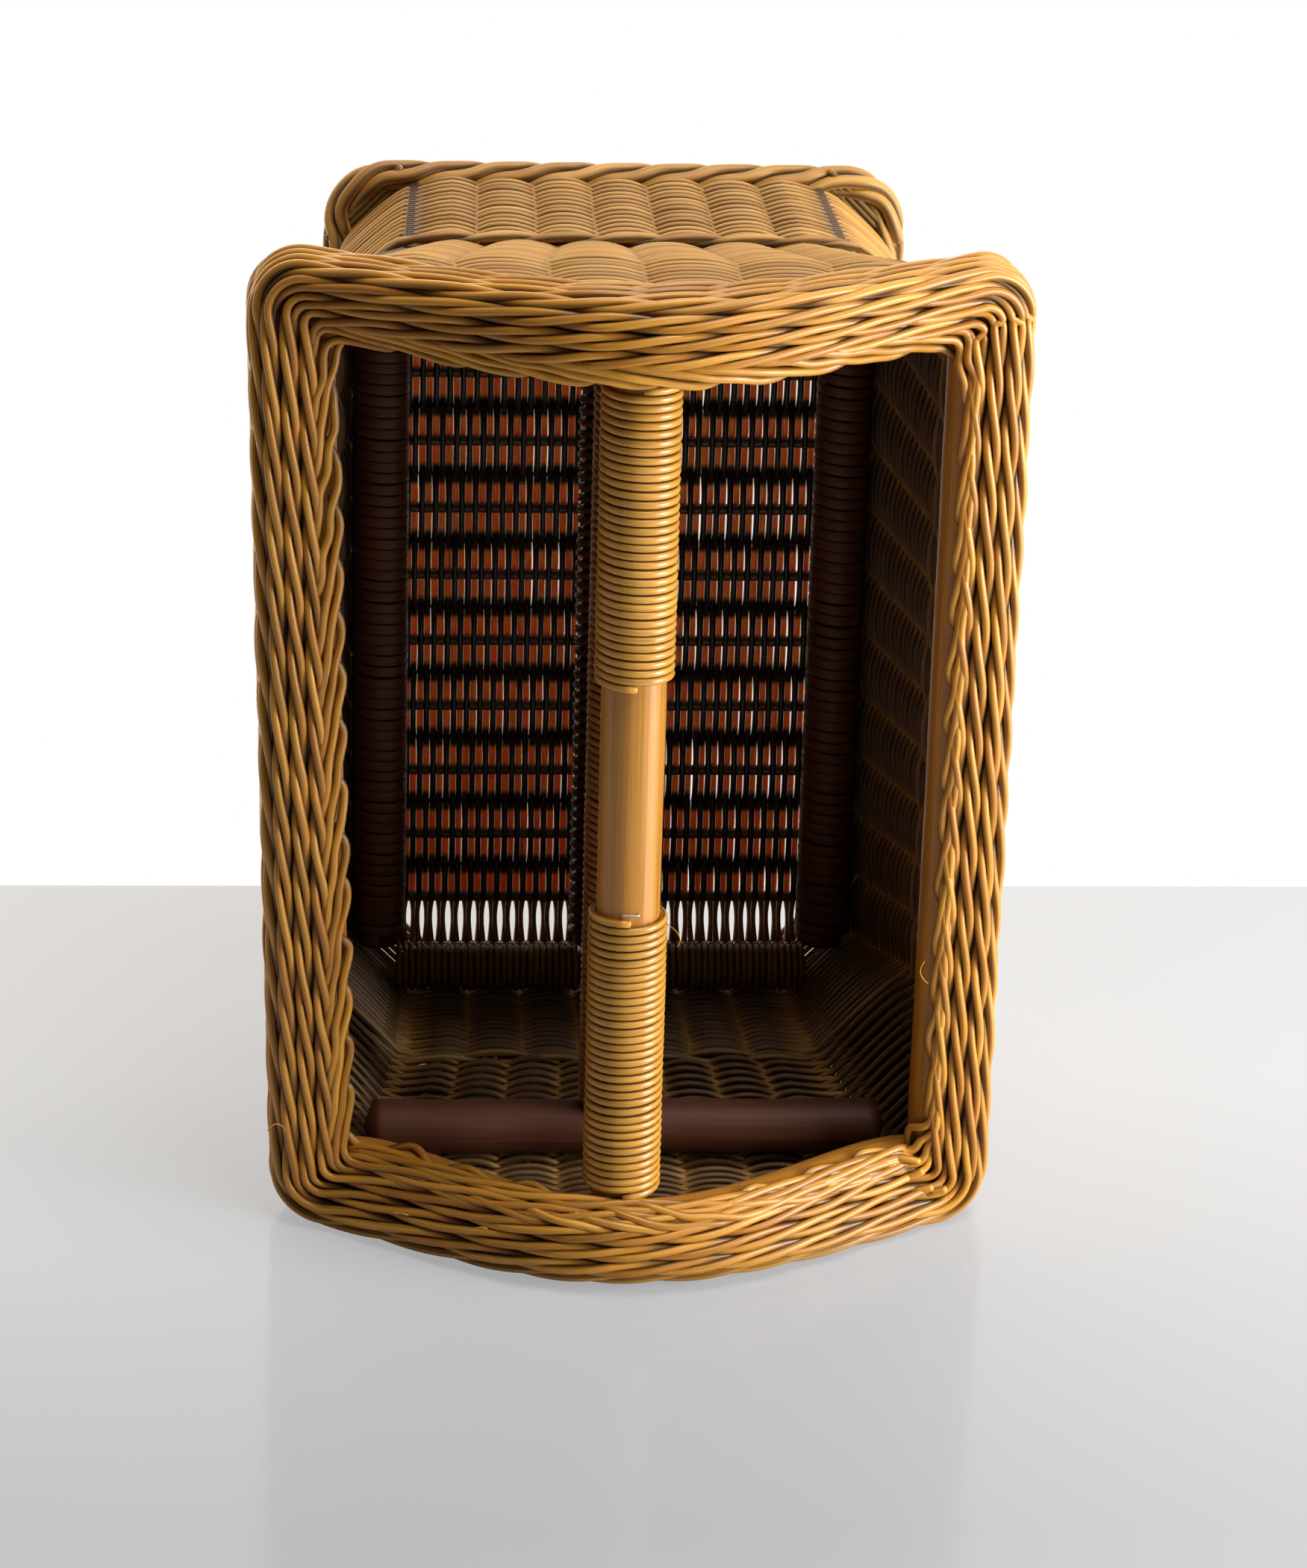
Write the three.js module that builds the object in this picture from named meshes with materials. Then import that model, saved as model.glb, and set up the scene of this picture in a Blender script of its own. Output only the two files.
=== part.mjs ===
// A rattan magazine basket: woven walls on a foot border, a braided rim over a frame of poles whose two ends
// rise in an arch, a wrapped handle from arch to arch, and a lower rail that parts the two compartments.
// Millimetres. +X is the front end, +Y the left side, +Z up. The foot stands on z = 0, centred on the origin.
import * as THREE from "three";
import { mergeVertices } from "three/addons/utils/BufferGeometryUtils.js";

// The rim: outer size, height of its four corners, and how far the middle of each end arches above them.
const RIM_LENGTH = 388;
const RIM_WIDTH = 290;
const CORNER_HEIGHT = 205;
const ARCH_RISE = 56;
// The power that gives the arch its soft shoulders.
const ARCH_POWER = 1.5;
// The left side is not quite straight: its rear corner stands this much further in than its front corner.
const RIM_LEAN = 7.5;

// The braid that caps the rim.
const BRAID_WIDTH = 34.5;
const BRAID_SKIRT = 3.7;
const BRAID_ROOF = 4.9;
const BRAID_OUTER_DROP = 32;
const BRAID_INNER_DROP = 11.5;
const BRAID_CORNER_RADIUS = 22;

// The woven wall: its outer face at the foot, the mid band and under the rim, and the flat part of its ends.
const WALL_THICKNESS = 9;
const FOOT_LENGTH = 368;
const FOOT_WIDTH = 235;
const FOOT_HEIGHT = 14;
const FOOT_BORDER_WIDTH = 12.7;
const FOOT_CORNER_RADIUS = 26;
const FOOT_CHAMFER = 2;
const WALL_SETBACK = 3.2;
const MID_LENGTH = 351;
const MID_WIDTH = 263;
const MID_HEIGHT = 97.8;
const MID_BAND_HEIGHT = 6.8;
const MID_BAND_PROUD = 2.6;
// How much each corner is cut off, measured along the end and along the side alike.
const CORNER_CUT_AT_FOOT = 29.8;
const CORNER_CUT_AT_MID = 43.5;
const CORNER_CUT_AT_RIM = 30;
const SHOULDER_MARGIN = 4;
// The weave bulges over its upright stakes and sinks by this much, on both faces, half way between two.
const WALL_RIB_DEPTH = 2.8;
const CORNER_STAKE_SHARE = 0.68;

// Poles of the rim, the handle and the lower rail with its two cross poles.
const RIM_POLE_DIAMETER = 19;
const HANDLE_DIAMETER = 24.3;
const HANDLE_DROP = 10.2;
const HANDLE_BARE_LENGTH = 89;
const WINDING_LOOPS = 24;
const WINDING_THICKNESS = 2.6;
const WINDING_GAP = 0.6;
const MIDDLE_OFFSET = 2.8;
const STAPLE_WIDTH = 6.5;
const STAPLE_WIRE = 1;
const STAPLE_LEG = 1.6;
const CROSS_POLE_DIAMETER = 21.8;
const CROSS_POLE_HEIGHT = 167;
const RAIL_DIAMETER = 21.4;
const RAIL_WRAP_THICKNESS = 2.6;

// The floor: wrapped poles along it, wrapped poles at its ends, round stakes across it and the weave between.
const STAKE_DIAMETER = 4.4;
const STAKE_HEIGHT = 11;
const STAKE_PITCH = 28.9;
const STAKE_COUNT = 10;
const STAKE_OFFSET = -3.3;
const BASE_WEAVE_THICKNESS = 9.4;
const BASE_POLE_DIAMETER = 17.4;
const BASE_END_POLE_DIAMETER = 16;
const BASE_WRAP_THICKNESS = 2.7;
const BASE_POLE_BARE_END = 3;

// The gap between pieces that meet, and the distance within which two points of a surface are one.
const CLEARANCE = 0.3;
const MERGE_DISTANCE = 0.001;

// How many upright stakes the weave bulges over: at the ends and sides of the lower wall, and of the upper.
const LOWER_END_STAKES = 7;
const UPPER_FRONT_STAKES = 6;
const UPPER_REAR_STAKES = 8;
const SIDE_STAKES = 11;

// Counts of facets.
const POLE_SIDES = 16;
const STAKE_SIDES = 8;
const ARCH_STEPS = 12;
const RIB_STEPS = 4;
const END_STEPS = 14;
const CORNER_STEPS = 4;
const WINDING_STEPS = 16;

// Sizes that follow from the ones above.
const RIM_POLE_RADIUS = RIM_POLE_DIAMETER / 2;
const HANDLE_RADIUS = HANDLE_DIAMETER / 2;
const RAIL_RADIUS = RAIL_DIAMETER / 2;
const CROSS_POLE_RADIUS = CROSS_POLE_DIAMETER / 2;
const BASE_POLE_RADIUS = BASE_POLE_DIAMETER / 2;
const BASE_END_POLE_RADIUS = BASE_END_POLE_DIAMETER / 2;
const STAKE_RADIUS = STAKE_DIAMETER / 2;
const WALL_INSET_AT_RIM = BRAID_SKIRT + CLEARANCE;
const RIM_POLE_INSET = WALL_INSET_AT_RIM + WALL_THICKNESS + CLEARANCE + RIM_POLE_RADIUS;
const RIM_POLE_HEIGHT = CORNER_HEIGHT - BRAID_ROOF - CLEARANCE - RIM_POLE_RADIUS;
const WALL_TOP = CORNER_HEIGHT - BRAID_ROOF - CLEARANCE;
const RIM_POLE_UNDERSIDE = RIM_POLE_HEIGHT - RIM_POLE_RADIUS;
const SHOULDER_HEIGHT = RIM_POLE_UNDERSIDE - SHOULDER_MARGIN;
const ARCH_TOP = RIM_POLE_HEIGHT + ARCH_RISE;
const POLE_SPAN = RIM_LENGTH / 2 - RIM_POLE_INSET - RIM_POLE_RADIUS - CLEARANCE;
const HANDLE_HEIGHT = ARCH_TOP - HANDLE_DROP;

const basket = new THREE.Group();

const point = (x, y, z) => new THREE.Vector3(x, y, z);
const mix = THREE.MathUtils.lerp;
const clamp = THREE.MathUtils.clamp;
const FULL_TURN = 2 * Math.PI;

// The shares 0 to 1 in equal steps.
const evenShares = (count) => Array.from({ length: count + 1 }, (_, i) => i / count);

const cane = (color, roughness) => new THREE.MeshStandardMaterial({ color, roughness, metalness: 0 });
const REED = cane(0xb8884c, 0.55);
const BARE_POLE = cane(0xa4702c, 0.42);
const WRAP = cane(0xba8c46, 0.4);
const FLOOR_REED = cane(0x8a5426, 0.6);
const STEEL = new THREE.MeshStandardMaterial({ color: 0x9a958c, roughness: 0.4, metalness: 0.9 });

function add(name, geometry, material) {
  const mesh = new THREE.Mesh(geometry, material);
  mesh.name = name;
  basket.add(mesh);
}

// A closed surface from points and four-sided or three-sided faces. Points that coincide become one, and a
// face that shrinks to a line or a point is left out.
function surface(points, faces) {
  const loose = new THREE.BufferGeometry();
  const coordinates = points.flatMap((p) => p.toArray());
  loose.setAttribute("position", new THREE.Float32BufferAttribute(coordinates, 3));
  loose.setIndex(faces.flatMap(([a, b, c, d]) => (d === undefined ? [a, b, c] : [a, b, c, a, c, d])));
  const merged = mergeVertices(loose, MERGE_DISTANCE);
  const kept = [];
  for (let i = 0; i < merged.index.count; i += 3) {
    const [a, b, c] = [0, 1, 2].map((k) => merged.index.getX(i + k));
    if (a !== b && b !== c && c !== a) kept.push(a, b, c);
  }
  merged.setIndex(kept);
  // A surface that came out facing inwards is turned round.
  if (signedVolume(merged) < 0) merged.setIndex(kept.reverse());
  merged.computeVertexNormals();
  return merged;
}

function signedVolume(geometry) {
  const at = (i) => point().fromBufferAttribute(geometry.attributes.position, geometry.index.getX(i));
  let sum = 0;
  for (let i = 0; i < geometry.index.count; i += 3) sum += at(i).dot(at(i + 1).cross(at(i + 2)));
  return sum;
}

// Rings of equally many points, joined one to the next. A closed run joins its last ring to its first, and an
// open run has a flat cap at each end.
function skin(rings, closed) {
  const n = rings[0].length;
  const faces = [];
  const last = closed ? rings.length : rings.length - 1;
  for (let r = 0; r < last; r++) {
    const a = r * n;
    const b = ((r + 1) % rings.length) * n;
    for (let i = 0; i < n; i++) faces.push([a + i, a + ((i + 1) % n), b + ((i + 1) % n), b + i]);
  }
  if (!closed) {
    const end = (rings.length - 1) * n;
    for (let i = 1; i < n - 1; i++) faces.push([0, i + 1, i], [end, end + i, end + i + 1]);
  }
  return surface(rings.flat(), faces);
}

// A slab between an outer and an inner grid of points with as many rows and columns.
function slab(outer, inner) {
  const rows = outer.length;
  const columns = outer[0].length;
  const size = rows * columns;
  const at = (r, c) => r * columns + c;
  const faces = [];
  for (let r = 0; r < rows - 1; r++)
    for (let c = 0; c < columns - 1; c++) {
      faces.push([at(r, c), at(r, c + 1), at(r + 1, c + 1), at(r + 1, c)]);
      faces.push([size + at(r, c), size + at(r + 1, c), size + at(r + 1, c + 1), size + at(r, c + 1)]);
    }
  const edge = [];
  for (let c = 0; c < columns - 1; c++) edge.push(at(0, c));
  for (let r = 0; r < rows - 1; r++) edge.push(at(r, columns - 1));
  for (let c = columns - 1; c > 0; c--) edge.push(at(rows - 1, c));
  for (let r = rows - 1; r > 0; r--) edge.push(at(r, 0));
  edge.forEach((a, i) => {
    const b = edge[(i + 1) % edge.length];
    faces.push([b, a, size + a, size + b]);
  });
  return surface([...outer.flat(), ...inner.flat()], faces);
}

// A tube along points, with its section drawn in the plane of a side direction and the one square to it.
function tube(path, sideways, section) {
  const rings = path.map((p, i) => {
    const next = path[Math.min(i + 1, path.length - 1)];
    const along = next.clone().sub(path[Math.max(i - 1, 0)]).normalize();
    const side = typeof sideways === "function" ? sideways(i) : sideways;
    const up = side.clone().cross(along).normalize();
    const across = along.clone().cross(up);
    return section.map(([u, w]) => p.clone().addScaledVector(across, u).addScaledVector(up, w));
  });
  return skin(rings, false);
}

const circle = (radius, sides) =>
  evenShares(sides)
    .slice(0, sides)
    .map((s) => [radius * Math.cos(s * FULL_TURN), radius * Math.sin(s * FULL_TURN)]);

function rod(from, to, radius, sides = POLE_SIDES) {
  const side = Math.abs(to.x - from.x) > Math.abs(to.y - from.y) ? point(0, 1, 0) : point(1, 0, 0);
  return tube([from, to], side, circle(radius, sides));
}

// A plain sleeve round a straight pole, from its bore to its outer radius.
function sleeve(from, to, bore, radius) {
  const along = to.clone().sub(from).normalize();
  const side = Math.abs(along.x) > Math.abs(along.y) ? point(0, 1, 0) : point(1, 0, 0);
  const up = along.clone().cross(side);
  const rings = circle(1, POLE_SIDES).map(([c, s]) => {
    const out = side.clone().multiplyScalar(c).addScaledVector(up, s);
    return [from, to].flatMap((end, i) => {
      const radii = i ? [radius, bore] : [bore, radius];
      return radii.map((r) => end.clone().addScaledVector(out, r));
    });
  });
  return skin(rings, true);
}

// The lean of the left side grows from nothing at the mid band to its full size at the shoulder, and from
// nothing at the front corner to its full size at the rear. All of the rim's width moves alike.
function leaned(x, y, z) {
  const heightShare = clamp((z - MID_HEIGHT) / (SHOULDER_HEIGHT - MID_HEIGHT), 0, 1);
  const frontEnd = RIM_LENGTH / 2 - BRAID_CORNER_RADIUS;
  const rearShare = clamp((frontEnd - x) / (frontEnd + RIM_LENGTH / 2), 0, 1);
  const leftShare = clamp(y / (RIM_WIDTH / 2 - BRAID_WIDTH), 0, 1);
  return point(x, y - RIM_LEAN * heightShare * rearShare * leftShare, z);
}

// How far a line of the rim, set in from the rim's outer edge, has risen at a place across the end.
function rise(y, inset) {
  const half = RIM_WIDTH / 2 - inset;
  return ARCH_RISE * Math.max(0, 1 - (y / half) ** 2) ** ARCH_POWER;
}

// The arched poles follow the innermost line that they carry.
const poleRise = (y) => rise(y, RIM_POLE_INSET + RIM_POLE_RADIUS);

// The wall's outer outline at a height: straight lines from foot to mid band to the shoulder under the rim,
// and upright above.
function outline(z) {
  const foot = [FOOT_LENGTH / 2 - WALL_SETBACK, FOOT_WIDTH / 2 - WALL_SETBACK, CORNER_CUT_AT_FOOT];
  const middle = [MID_LENGTH / 2, MID_WIDTH / 2, CORNER_CUT_AT_MID];
  const rimInset = WALL_INSET_AT_RIM;
  const rim = [RIM_LENGTH / 2 - rimInset, RIM_WIDTH / 2 - rimInset, CORNER_CUT_AT_RIM];
  const lower = clamp((z - FOOT_HEIGHT) / (MID_HEIGHT - FOOT_HEIGHT), 0, 1);
  const upper = clamp((z - MID_HEIGHT) / (SHOULDER_HEIGHT - MID_HEIGHT), 0, 1);
  const [halfLength, halfWidth, cornerCut] = z < MID_HEIGHT
    ? foot.map((f, i) => mix(f, middle[i], lower))
    : middle.map((m, i) => mix(m, rim[i], upper));
  return { halfLength, halfWidth, cornerCut };
}

// The eight corners of the wall at a height and set in by an inset, anticlockwise from the front's right end.
function corners(z, inset) {
  const o = outline(z);
  const a = o.halfLength - inset;
  const b = o.halfWidth - inset;
  const cut = o.cornerCut - (2 - Math.SQRT2) * inset;
  const frontHalf = [[a, cut - b], [a, b - cut], [a - cut, b], [cut - a, b]];
  const rearHalf = frontHalf.map(([x, y]) => [-x, -y]);
  return [...frontHalf, ...rearHalf].map(([x, y]) => leaned(x, y, z));
}

// The columns of a straight panel with so many stakes. Each is a share of the way along the panel, and the
// share of the rib depth by which both faces sink there: nothing over a stake, all of it between two.
const ribShares = (stakes) =>
  evenShares(stakes * RIB_STEPS).map((s) => [s, 1 - Math.abs(Math.sin((s * stakes * FULL_TURN) / 2))]);

// A chamfered corner has one stake, nearer to the long side. The weave runs flat up to it from the end.
function cornerRibShares(fromEnd) {
  const half = 1 - CORNER_STAKE_SHARE;
  const slope = 1 - Math.SQRT1_2;
  const shares = [[0, 1], [half / 2, 1], [CORNER_STAKE_SHARE - half * Math.SQRT1_2, slope]];
  shares.push([CORNER_STAKE_SHARE, 0], [1 - half / 2, slope], [1, 1]);
  return fromEnd ? shares : shares.map(([s, sunk]) => [1 - s, sunk]).reverse();
}

// One panel of the wall between two neighbouring corners. Each row is a height for each column. A panel's
// ends stand half a clearance back.
function panel(first, columnShares, heightRows) {
  const grid = (face, sink) =>
    heightRows.map((heights) =>
      columnShares.map(([s, sunk], c) => {
        const at = corners(heights[c], face + sink * sunk);
        const from = at[first];
        const to = at[(first + 1) % at.length];
        const pull = CLEARANCE / 2 / from.distanceTo(to);
        return from.clone().lerp(to, clamp(s, pull, 1 - pull));
      }),
    );
  return slab(grid(0, WALL_RIB_DEPTH), grid(WALL_THICKNESS, -WALL_RIB_DEPTH));
}

const SIDE_NAMES = ["front", "front_left", "left", "rear_left", "rear", "rear_right", "right", "front_right"];
const MID_BAND_BOTTOM = MID_HEIGHT - MID_BAND_HEIGHT / 2;
const MID_BAND_TOP = MID_HEIGHT + MID_BAND_HEIGHT / 2;

// How high the top of an end has risen at a share of the way along its straight part.
const HALF_END_AT_RIM = RIM_WIDTH / 2 - WALL_INSET_AT_RIM - CORNER_CUT_AT_RIM;
const topLift = (s) => rise((2 * s - 1) * HALF_END_AT_RIM, RIM_POLE_INSET) - 2 * CLEARANCE;

// The columns of each panel in turn, from the counts of stakes at the front and at the rear.
const columnsRound = (frontStakes, rearStakes) => [
  ribShares(frontStakes), cornerRibShares(true), ribShares(SIDE_STAKES), cornerRibShares(false),
  ribShares(rearStakes), cornerRibShares(true), ribShares(SIDE_STAKES), cornerRibShares(false),
];

function walls() {
  const lowerColumns = columnsRound(LOWER_END_STAKES, LOWER_END_STAKES);
  const upperColumns = columnsRound(UPPER_FRONT_STAKES, UPPER_REAR_STAKES);
  SIDE_NAMES.forEach((name, i) => {
    const heights = [FOOT_HEIGHT + CLEARANCE, MID_BAND_BOTTOM - CLEARANCE];
    const rows = heights.map((z) => lowerColumns[i].map(() => z));
    add("lower_wall_" + name, panel(i, lowerColumns[i], rows), REED);
  });
  SIDE_NAMES.forEach((name, i) => {
    const bottom = MID_BAND_TOP + CLEARANCE;
    const isEnd = name === "front" || name === "rear";
    const isSide = name === "left" || name === "right";
    const columnShares = upperColumns[i];
    const flat = (z) => columnShares.map(() => z);
    // A chamfered corner ends under the poles. The other sides go up past them to the roof of the braid.
    const above = columnShares.map(([s]) => WALL_TOP + (isEnd ? topLift(s) : 0));
    const top = isEnd || isSide ? above : flat(RIM_POLE_UNDERSIDE - CLEARANCE);
    add("upper_wall_" + name, panel(i, columnShares, [flat(bottom), flat(SHOULDER_HEIGHT), top]), REED);
  });
}

// A ring round a rectangle with rounded corners. Each section point is an inset from the outer edge and a
// height. Where a line is set in beyond the corner radius, its corner is sharp.
function roundedRing(length, width, radius, section, lift) {
  const endPlace = width / 2 - radius;
  const sidePlace = length / 2 - radius;
  const quarter = FULL_TURN / 4;
  const roundShares = evenShares(CORNER_STEPS).slice(1, -1);
  const stations = [];
  const station = (x, y, turn) => stations.push([x, y, Math.cos(turn), Math.sin(turn)]);
  // Half a round at a time: an end, its far corner, a side, and that side's far corner.
  for (const [side, facing] of [[1, 0], [-1, 2 * quarter]]) {
    evenShares(END_STEPS).forEach((s) => station(side * sidePlace, side * (2 * s - 1) * endPlace, facing));
    roundShares.forEach((s) => station(side * sidePlace, side * endPlace, facing + s * quarter));
    [side, -side].forEach((end) => station(end * sidePlace, side * endPlace, facing + quarter));
    roundShares.forEach((s) => station(-side * sidePlace, side * endPlace, facing + (1 + s) * quarter));
  }
  const rings = stations.map(([x, y, dx, dy]) =>
    section.map(([inset, height]) => {
      const reach = Math.max(radius - inset, 0);
      const px = clamp(x + dx * reach, inset - length / 2, length / 2 - inset);
      const py = clamp(y + dy * reach, inset - width / 2, width / 2 - inset);
      return leaned(px, py, height + lift(py, inset));
    }),
  );
  return skin(rings, true);
}

function rimBraid() {
  const top = CORNER_HEIGHT;
  const under = top - BRAID_ROOF;
  const poleTop = RIM_POLE_INSET;
  const edge = BRAID_WIDTH;
  const cover = RIM_POLE_RADIUS + CLEARANCE;
  // The underside over the inner half of the pole keeps a clearance to it.
  const overPoleShares = [0.92, 0.71, 0.36];
  const overPole = overPoleShares.map((s) => [
    poleTop + s * cover,
    RIM_POLE_HEIGHT + cover * Math.sqrt(1 - s * s) + CLEARANCE / 2,
  ]);
  const crestShare = 0.41;
  const outerFaceShares = [[0, 0.31], [0.05, 0.12], [0.21, 0.02]];
  const innerFaceShares = [[0.64, 0], [0.83, 0.05], [0.95, 0.16], [1, 0.3]];
  const onFace = ([u, w]) => [u * edge, top - w * BRAID_OUTER_DROP];
  const section = [
    [BRAID_SKIRT, top - BRAID_OUTER_DROP],
    [0, top - BRAID_OUTER_DROP],
    ...outerFaceShares.map(onFace),
    [crestShare * edge, top],
    ...innerFaceShares.map(onFace),
    [edge, top - BRAID_INNER_DROP],
    ...overPole,
    [poleTop, under],
    [BRAID_SKIRT, under],
  ];
  add("rim_braid", roundedRing(RIM_LENGTH, RIM_WIDTH, BRAID_CORNER_RADIUS, section, rise), REED);
}

function footBorder() {
  const wide = FOOT_BORDER_WIDTH;
  const high = FOOT_HEIGHT;
  const edge = FOOT_CHAMFER;
  const outerHalf = [[edge, 0], [0, edge], [0, high - edge], [edge, high]];
  const section = [...outerHalf, ...outerHalf.map(([inset, z]) => [wide - inset, high - z])];
  add("foot_border", roundedRing(FOOT_LENGTH, FOOT_WIDTH, FOOT_CORNER_RADIUS, section, () => 0), REED);
}

function midBand() {
  const outer = -MID_BAND_PROUD;
  const inner = WALL_THICKNESS;
  const round = MID_BAND_PROUD / 2;
  const upperHalf = [[outer, MID_HEIGHT], [outer + round, MID_BAND_TOP], [inner, MID_BAND_TOP]];
  const lowerHalf = [[inner + round, MID_HEIGHT], [inner, MID_BAND_BOTTOM], [outer + round, MID_BAND_BOTTOM]];
  const section = [...upperHalf, ...lowerHalf];
  // The band is as wide all the way up, so each of its points is set in from the outline at its middle.
  const rings = SIDE_NAMES.map((_, i) => section.map(([inset, z]) => corners(MID_HEIGHT, inset)[i].setZ(z)));
  add("mid_band", skin(rings, true), REED);
}

const POLE_X = RIM_LENGTH / 2 - RIM_POLE_INSET;
const POLE_Y = RIM_WIDTH / 2 - RIM_POLE_INSET;

function rimPoles() {
  for (const [name, side] of [["left", 1], ["right", -1]]) {
    const from = leaned(-POLE_SPAN, side * POLE_Y, RIM_POLE_HEIGHT);
    const to = leaned(POLE_SPAN, side * POLE_Y, RIM_POLE_HEIGHT);
    add("rim_pole_" + name, rod(from, to, RIM_POLE_RADIUS), BARE_POLE);
  }
  for (const [name, end] of [["front", 1], ["rear", -1]]) {
    // The pole's top follows the underside of the braid, so its centre lies one radius square below that line.
    const reach = POLE_Y + RIM_POLE_RADIUS;
    const step = reach / ARCH_STEPS;
    const path = evenShares(ARCH_STEPS).map((s) => {
      const y = (2 * s - 1) * reach;
      const slope = (poleRise(y + step) - poleRise(y - step)) / (2 * step);
      const down = RIM_POLE_RADIUS / Math.hypot(1, slope);
      return leaned(end * POLE_X, y + slope * down, WALL_TOP + poleRise(y) - down);
    });
    add("rim_pole_" + name, tube(path, point(1, 0, 0), circle(RIM_POLE_RADIUS, POLE_SIDES)), BARE_POLE);
  }
}

// A flat cane wound round a pole along X as one unbroken tube: its flat side lies on the pole, and each end
// runs straight on for one width of the cane.
function winding(from, to, name) {
  const forward = Math.sign(to - from);
  const pitch = Math.abs(to - from) / (WINDING_LOOPS + 1);
  const width = pitch - WINDING_GAP;
  const base = HANDLE_RADIUS + CLEARANCE;
  const start = from + (forward * pitch) / 2;
  const outward = (turn) => point(0, Math.sin(turn * FULL_TURN), Math.cos(turn * FULL_TURN));
  const centre = (turn) => {
    const onAxis = point(start + forward * turn * pitch, MIDDLE_OFFSET, HANDLE_HEIGHT);
    return onAxis.addScaledVector(outward(turn), base);
  };
  const heading = (turn) => {
    const round = point(0, Math.cos(turn * FULL_TURN), -Math.sin(turn * FULL_TURN));
    return round.multiplyScalar(FULL_TURN * base).setX(forward * pitch).normalize();
  };
  const turns = evenShares(WINDING_LOOPS * WINDING_STEPS).map((s) => s * WINDING_LOOPS);
  const path = turns.map(centre);
  path.unshift(centre(0).addScaledVector(heading(0), -width));
  path.push(centre(WINDING_LOOPS).addScaledVector(heading(WINDING_LOOPS), width));
  const sideways = (i) => outward(clamp((i - 1) / WINDING_STEPS, 0, WINDING_LOOPS));
  const edgeShare = 0.5;
  const shoulderShare = 0.42;
  const shoulderHeightShare = 0.65;
  const sectionShares = [[0, -edgeShare], [0, edgeShare], [shoulderHeightShare, shoulderShare], [1, 0],
    [shoulderHeightShare, -shoulderShare]];
  const section = sectionShares.map(([u, w]) => [u * WINDING_THICKNESS, w * width]);
  const geometry = tube(path, sideways, section);
  printLeastGap(name, geometry, WINDING_STEPS * section.length);
  return geometry;
}

// The least distance from a point of a winding to the points half a loop to two loops further along.
function printLeastGap(name, geometry, pointsPerLoop) {
  const places = geometry.attributes.position;
  const at = Array.from({ length: places.count }, (_, i) => point().fromBufferAttribute(places, i));
  let least = Infinity;
  at.forEach((p, i) => {
    const others = at.slice(i + pointsPerLoop / 2, i + 2 * pointsPerLoop);
    others.forEach((q) => (least = Math.min(least, p.distanceTo(q))));
  });
  console.log(name + ": least gap between its turns " + least.toFixed(2) + " mm");
}

function handle() {
  const at = (x) => point(x, MIDDLE_OFFSET, HANDLE_HEIGHT);
  add("handle_pole", rod(at(-POLE_SPAN), at(POLE_SPAN), HANDLE_RADIUS), BARE_POLE);
  const outerEnd = RIM_LENGTH / 2 - BRAID_WIDTH - CLEARANCE;
  const innerEnd = HANDLE_BARE_LENGTH / 2;
  add("handle_wrap_front", winding(outerEnd, innerEnd, "handle_wrap_front"), WRAP);
  add("handle_wrap_rear", winding(-outerEnd, -innerEnd, "handle_wrap_rear"), WRAP);
  // The staple straddles the top of the bare pole beside the first turn of the rear winding.
  const half = STAPLE_WIDTH / 2;
  const low = HANDLE_RADIUS + CLEARANCE;
  const crown = low + STAPLE_LEG;
  const outside = [[-half, low], [-half, crown], [half, crown], [half, low]];
  const legInside = half - STAPLE_WIRE;
  const crownInside = crown - STAPLE_WIRE;
  const inside = [[legInside, low], [legInside, crownInside], [-legInside, crownInside], [-legInside, low]];
  const bridge = new THREE.Shape([...outside, ...inside].map(([y, z]) => new THREE.Vector2(y, z)));
  const staple = new THREE.ExtrudeGeometry(bridge, { depth: STAPLE_WIRE, bevelEnabled: false });
  staple.rotateX(FULL_TURN / 4).rotateZ(FULL_TURN / 4);
  staple.translate(STAPLE_WIRE - innerEnd, MIDDLE_OFFSET, HANDLE_HEIGHT);
  add("handle_staple", staple, STEEL);
}

function railAndCrossPoles() {
  // A cross pole lies against the slope of an end wall and runs from chamfer to chamfer, clear of each.
  const low = CROSS_POLE_HEIGHT - CROSS_POLE_RADIUS;
  const beside = (inner) => {
    const slope = (inner(CROSS_POLE_HEIGHT) - inner(low)) / CROSS_POLE_RADIUS;
    return inner(CROSS_POLE_HEIGHT) - (CROSS_POLE_RADIUS + CLEARANCE) * Math.hypot(1, slope);
  };
  const x = beside((z) => corners(z, WALL_THICKNESS)[0].x);
  // The sum of X and Y along a chamfer's inner face, at one of the eight corners.
  const chamferSum = (z, i) => {
    const corner = corners(z, WALL_THICKNESS)[i];
    return Math.abs(corner.x) + Math.abs(corner.y);
  };
  for (const [name, side, right, left] of [["front", 1, 0, 1], ["rear", -1, 5, 4]]) {
    const reach = (i) => beside((z) => chamferSum(z, i)) - x - 2 * CLEARANCE;
    const at = (y) => point(side * x, y, CROSS_POLE_HEIGHT);
    add("cross_pole_" + name, rod(at(-reach(right)), at(reach(left)), CROSS_POLE_RADIUS), BARE_POLE);
  }
  const end = x - CROSS_POLE_RADIUS - CLEARANCE;
  const at = (along) => point(along, MIDDLE_OFFSET, CROSS_POLE_HEIGHT);
  add("divider_rail", rod(at(-end), at(end), RAIL_RADIUS), BARE_POLE);
  const bore = RAIL_RADIUS + CLEARANCE;
  add("divider_rail_wrap", sleeve(at(-end), at(end), bore, bore + RAIL_WRAP_THICKNESS), WRAP);
}

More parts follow.
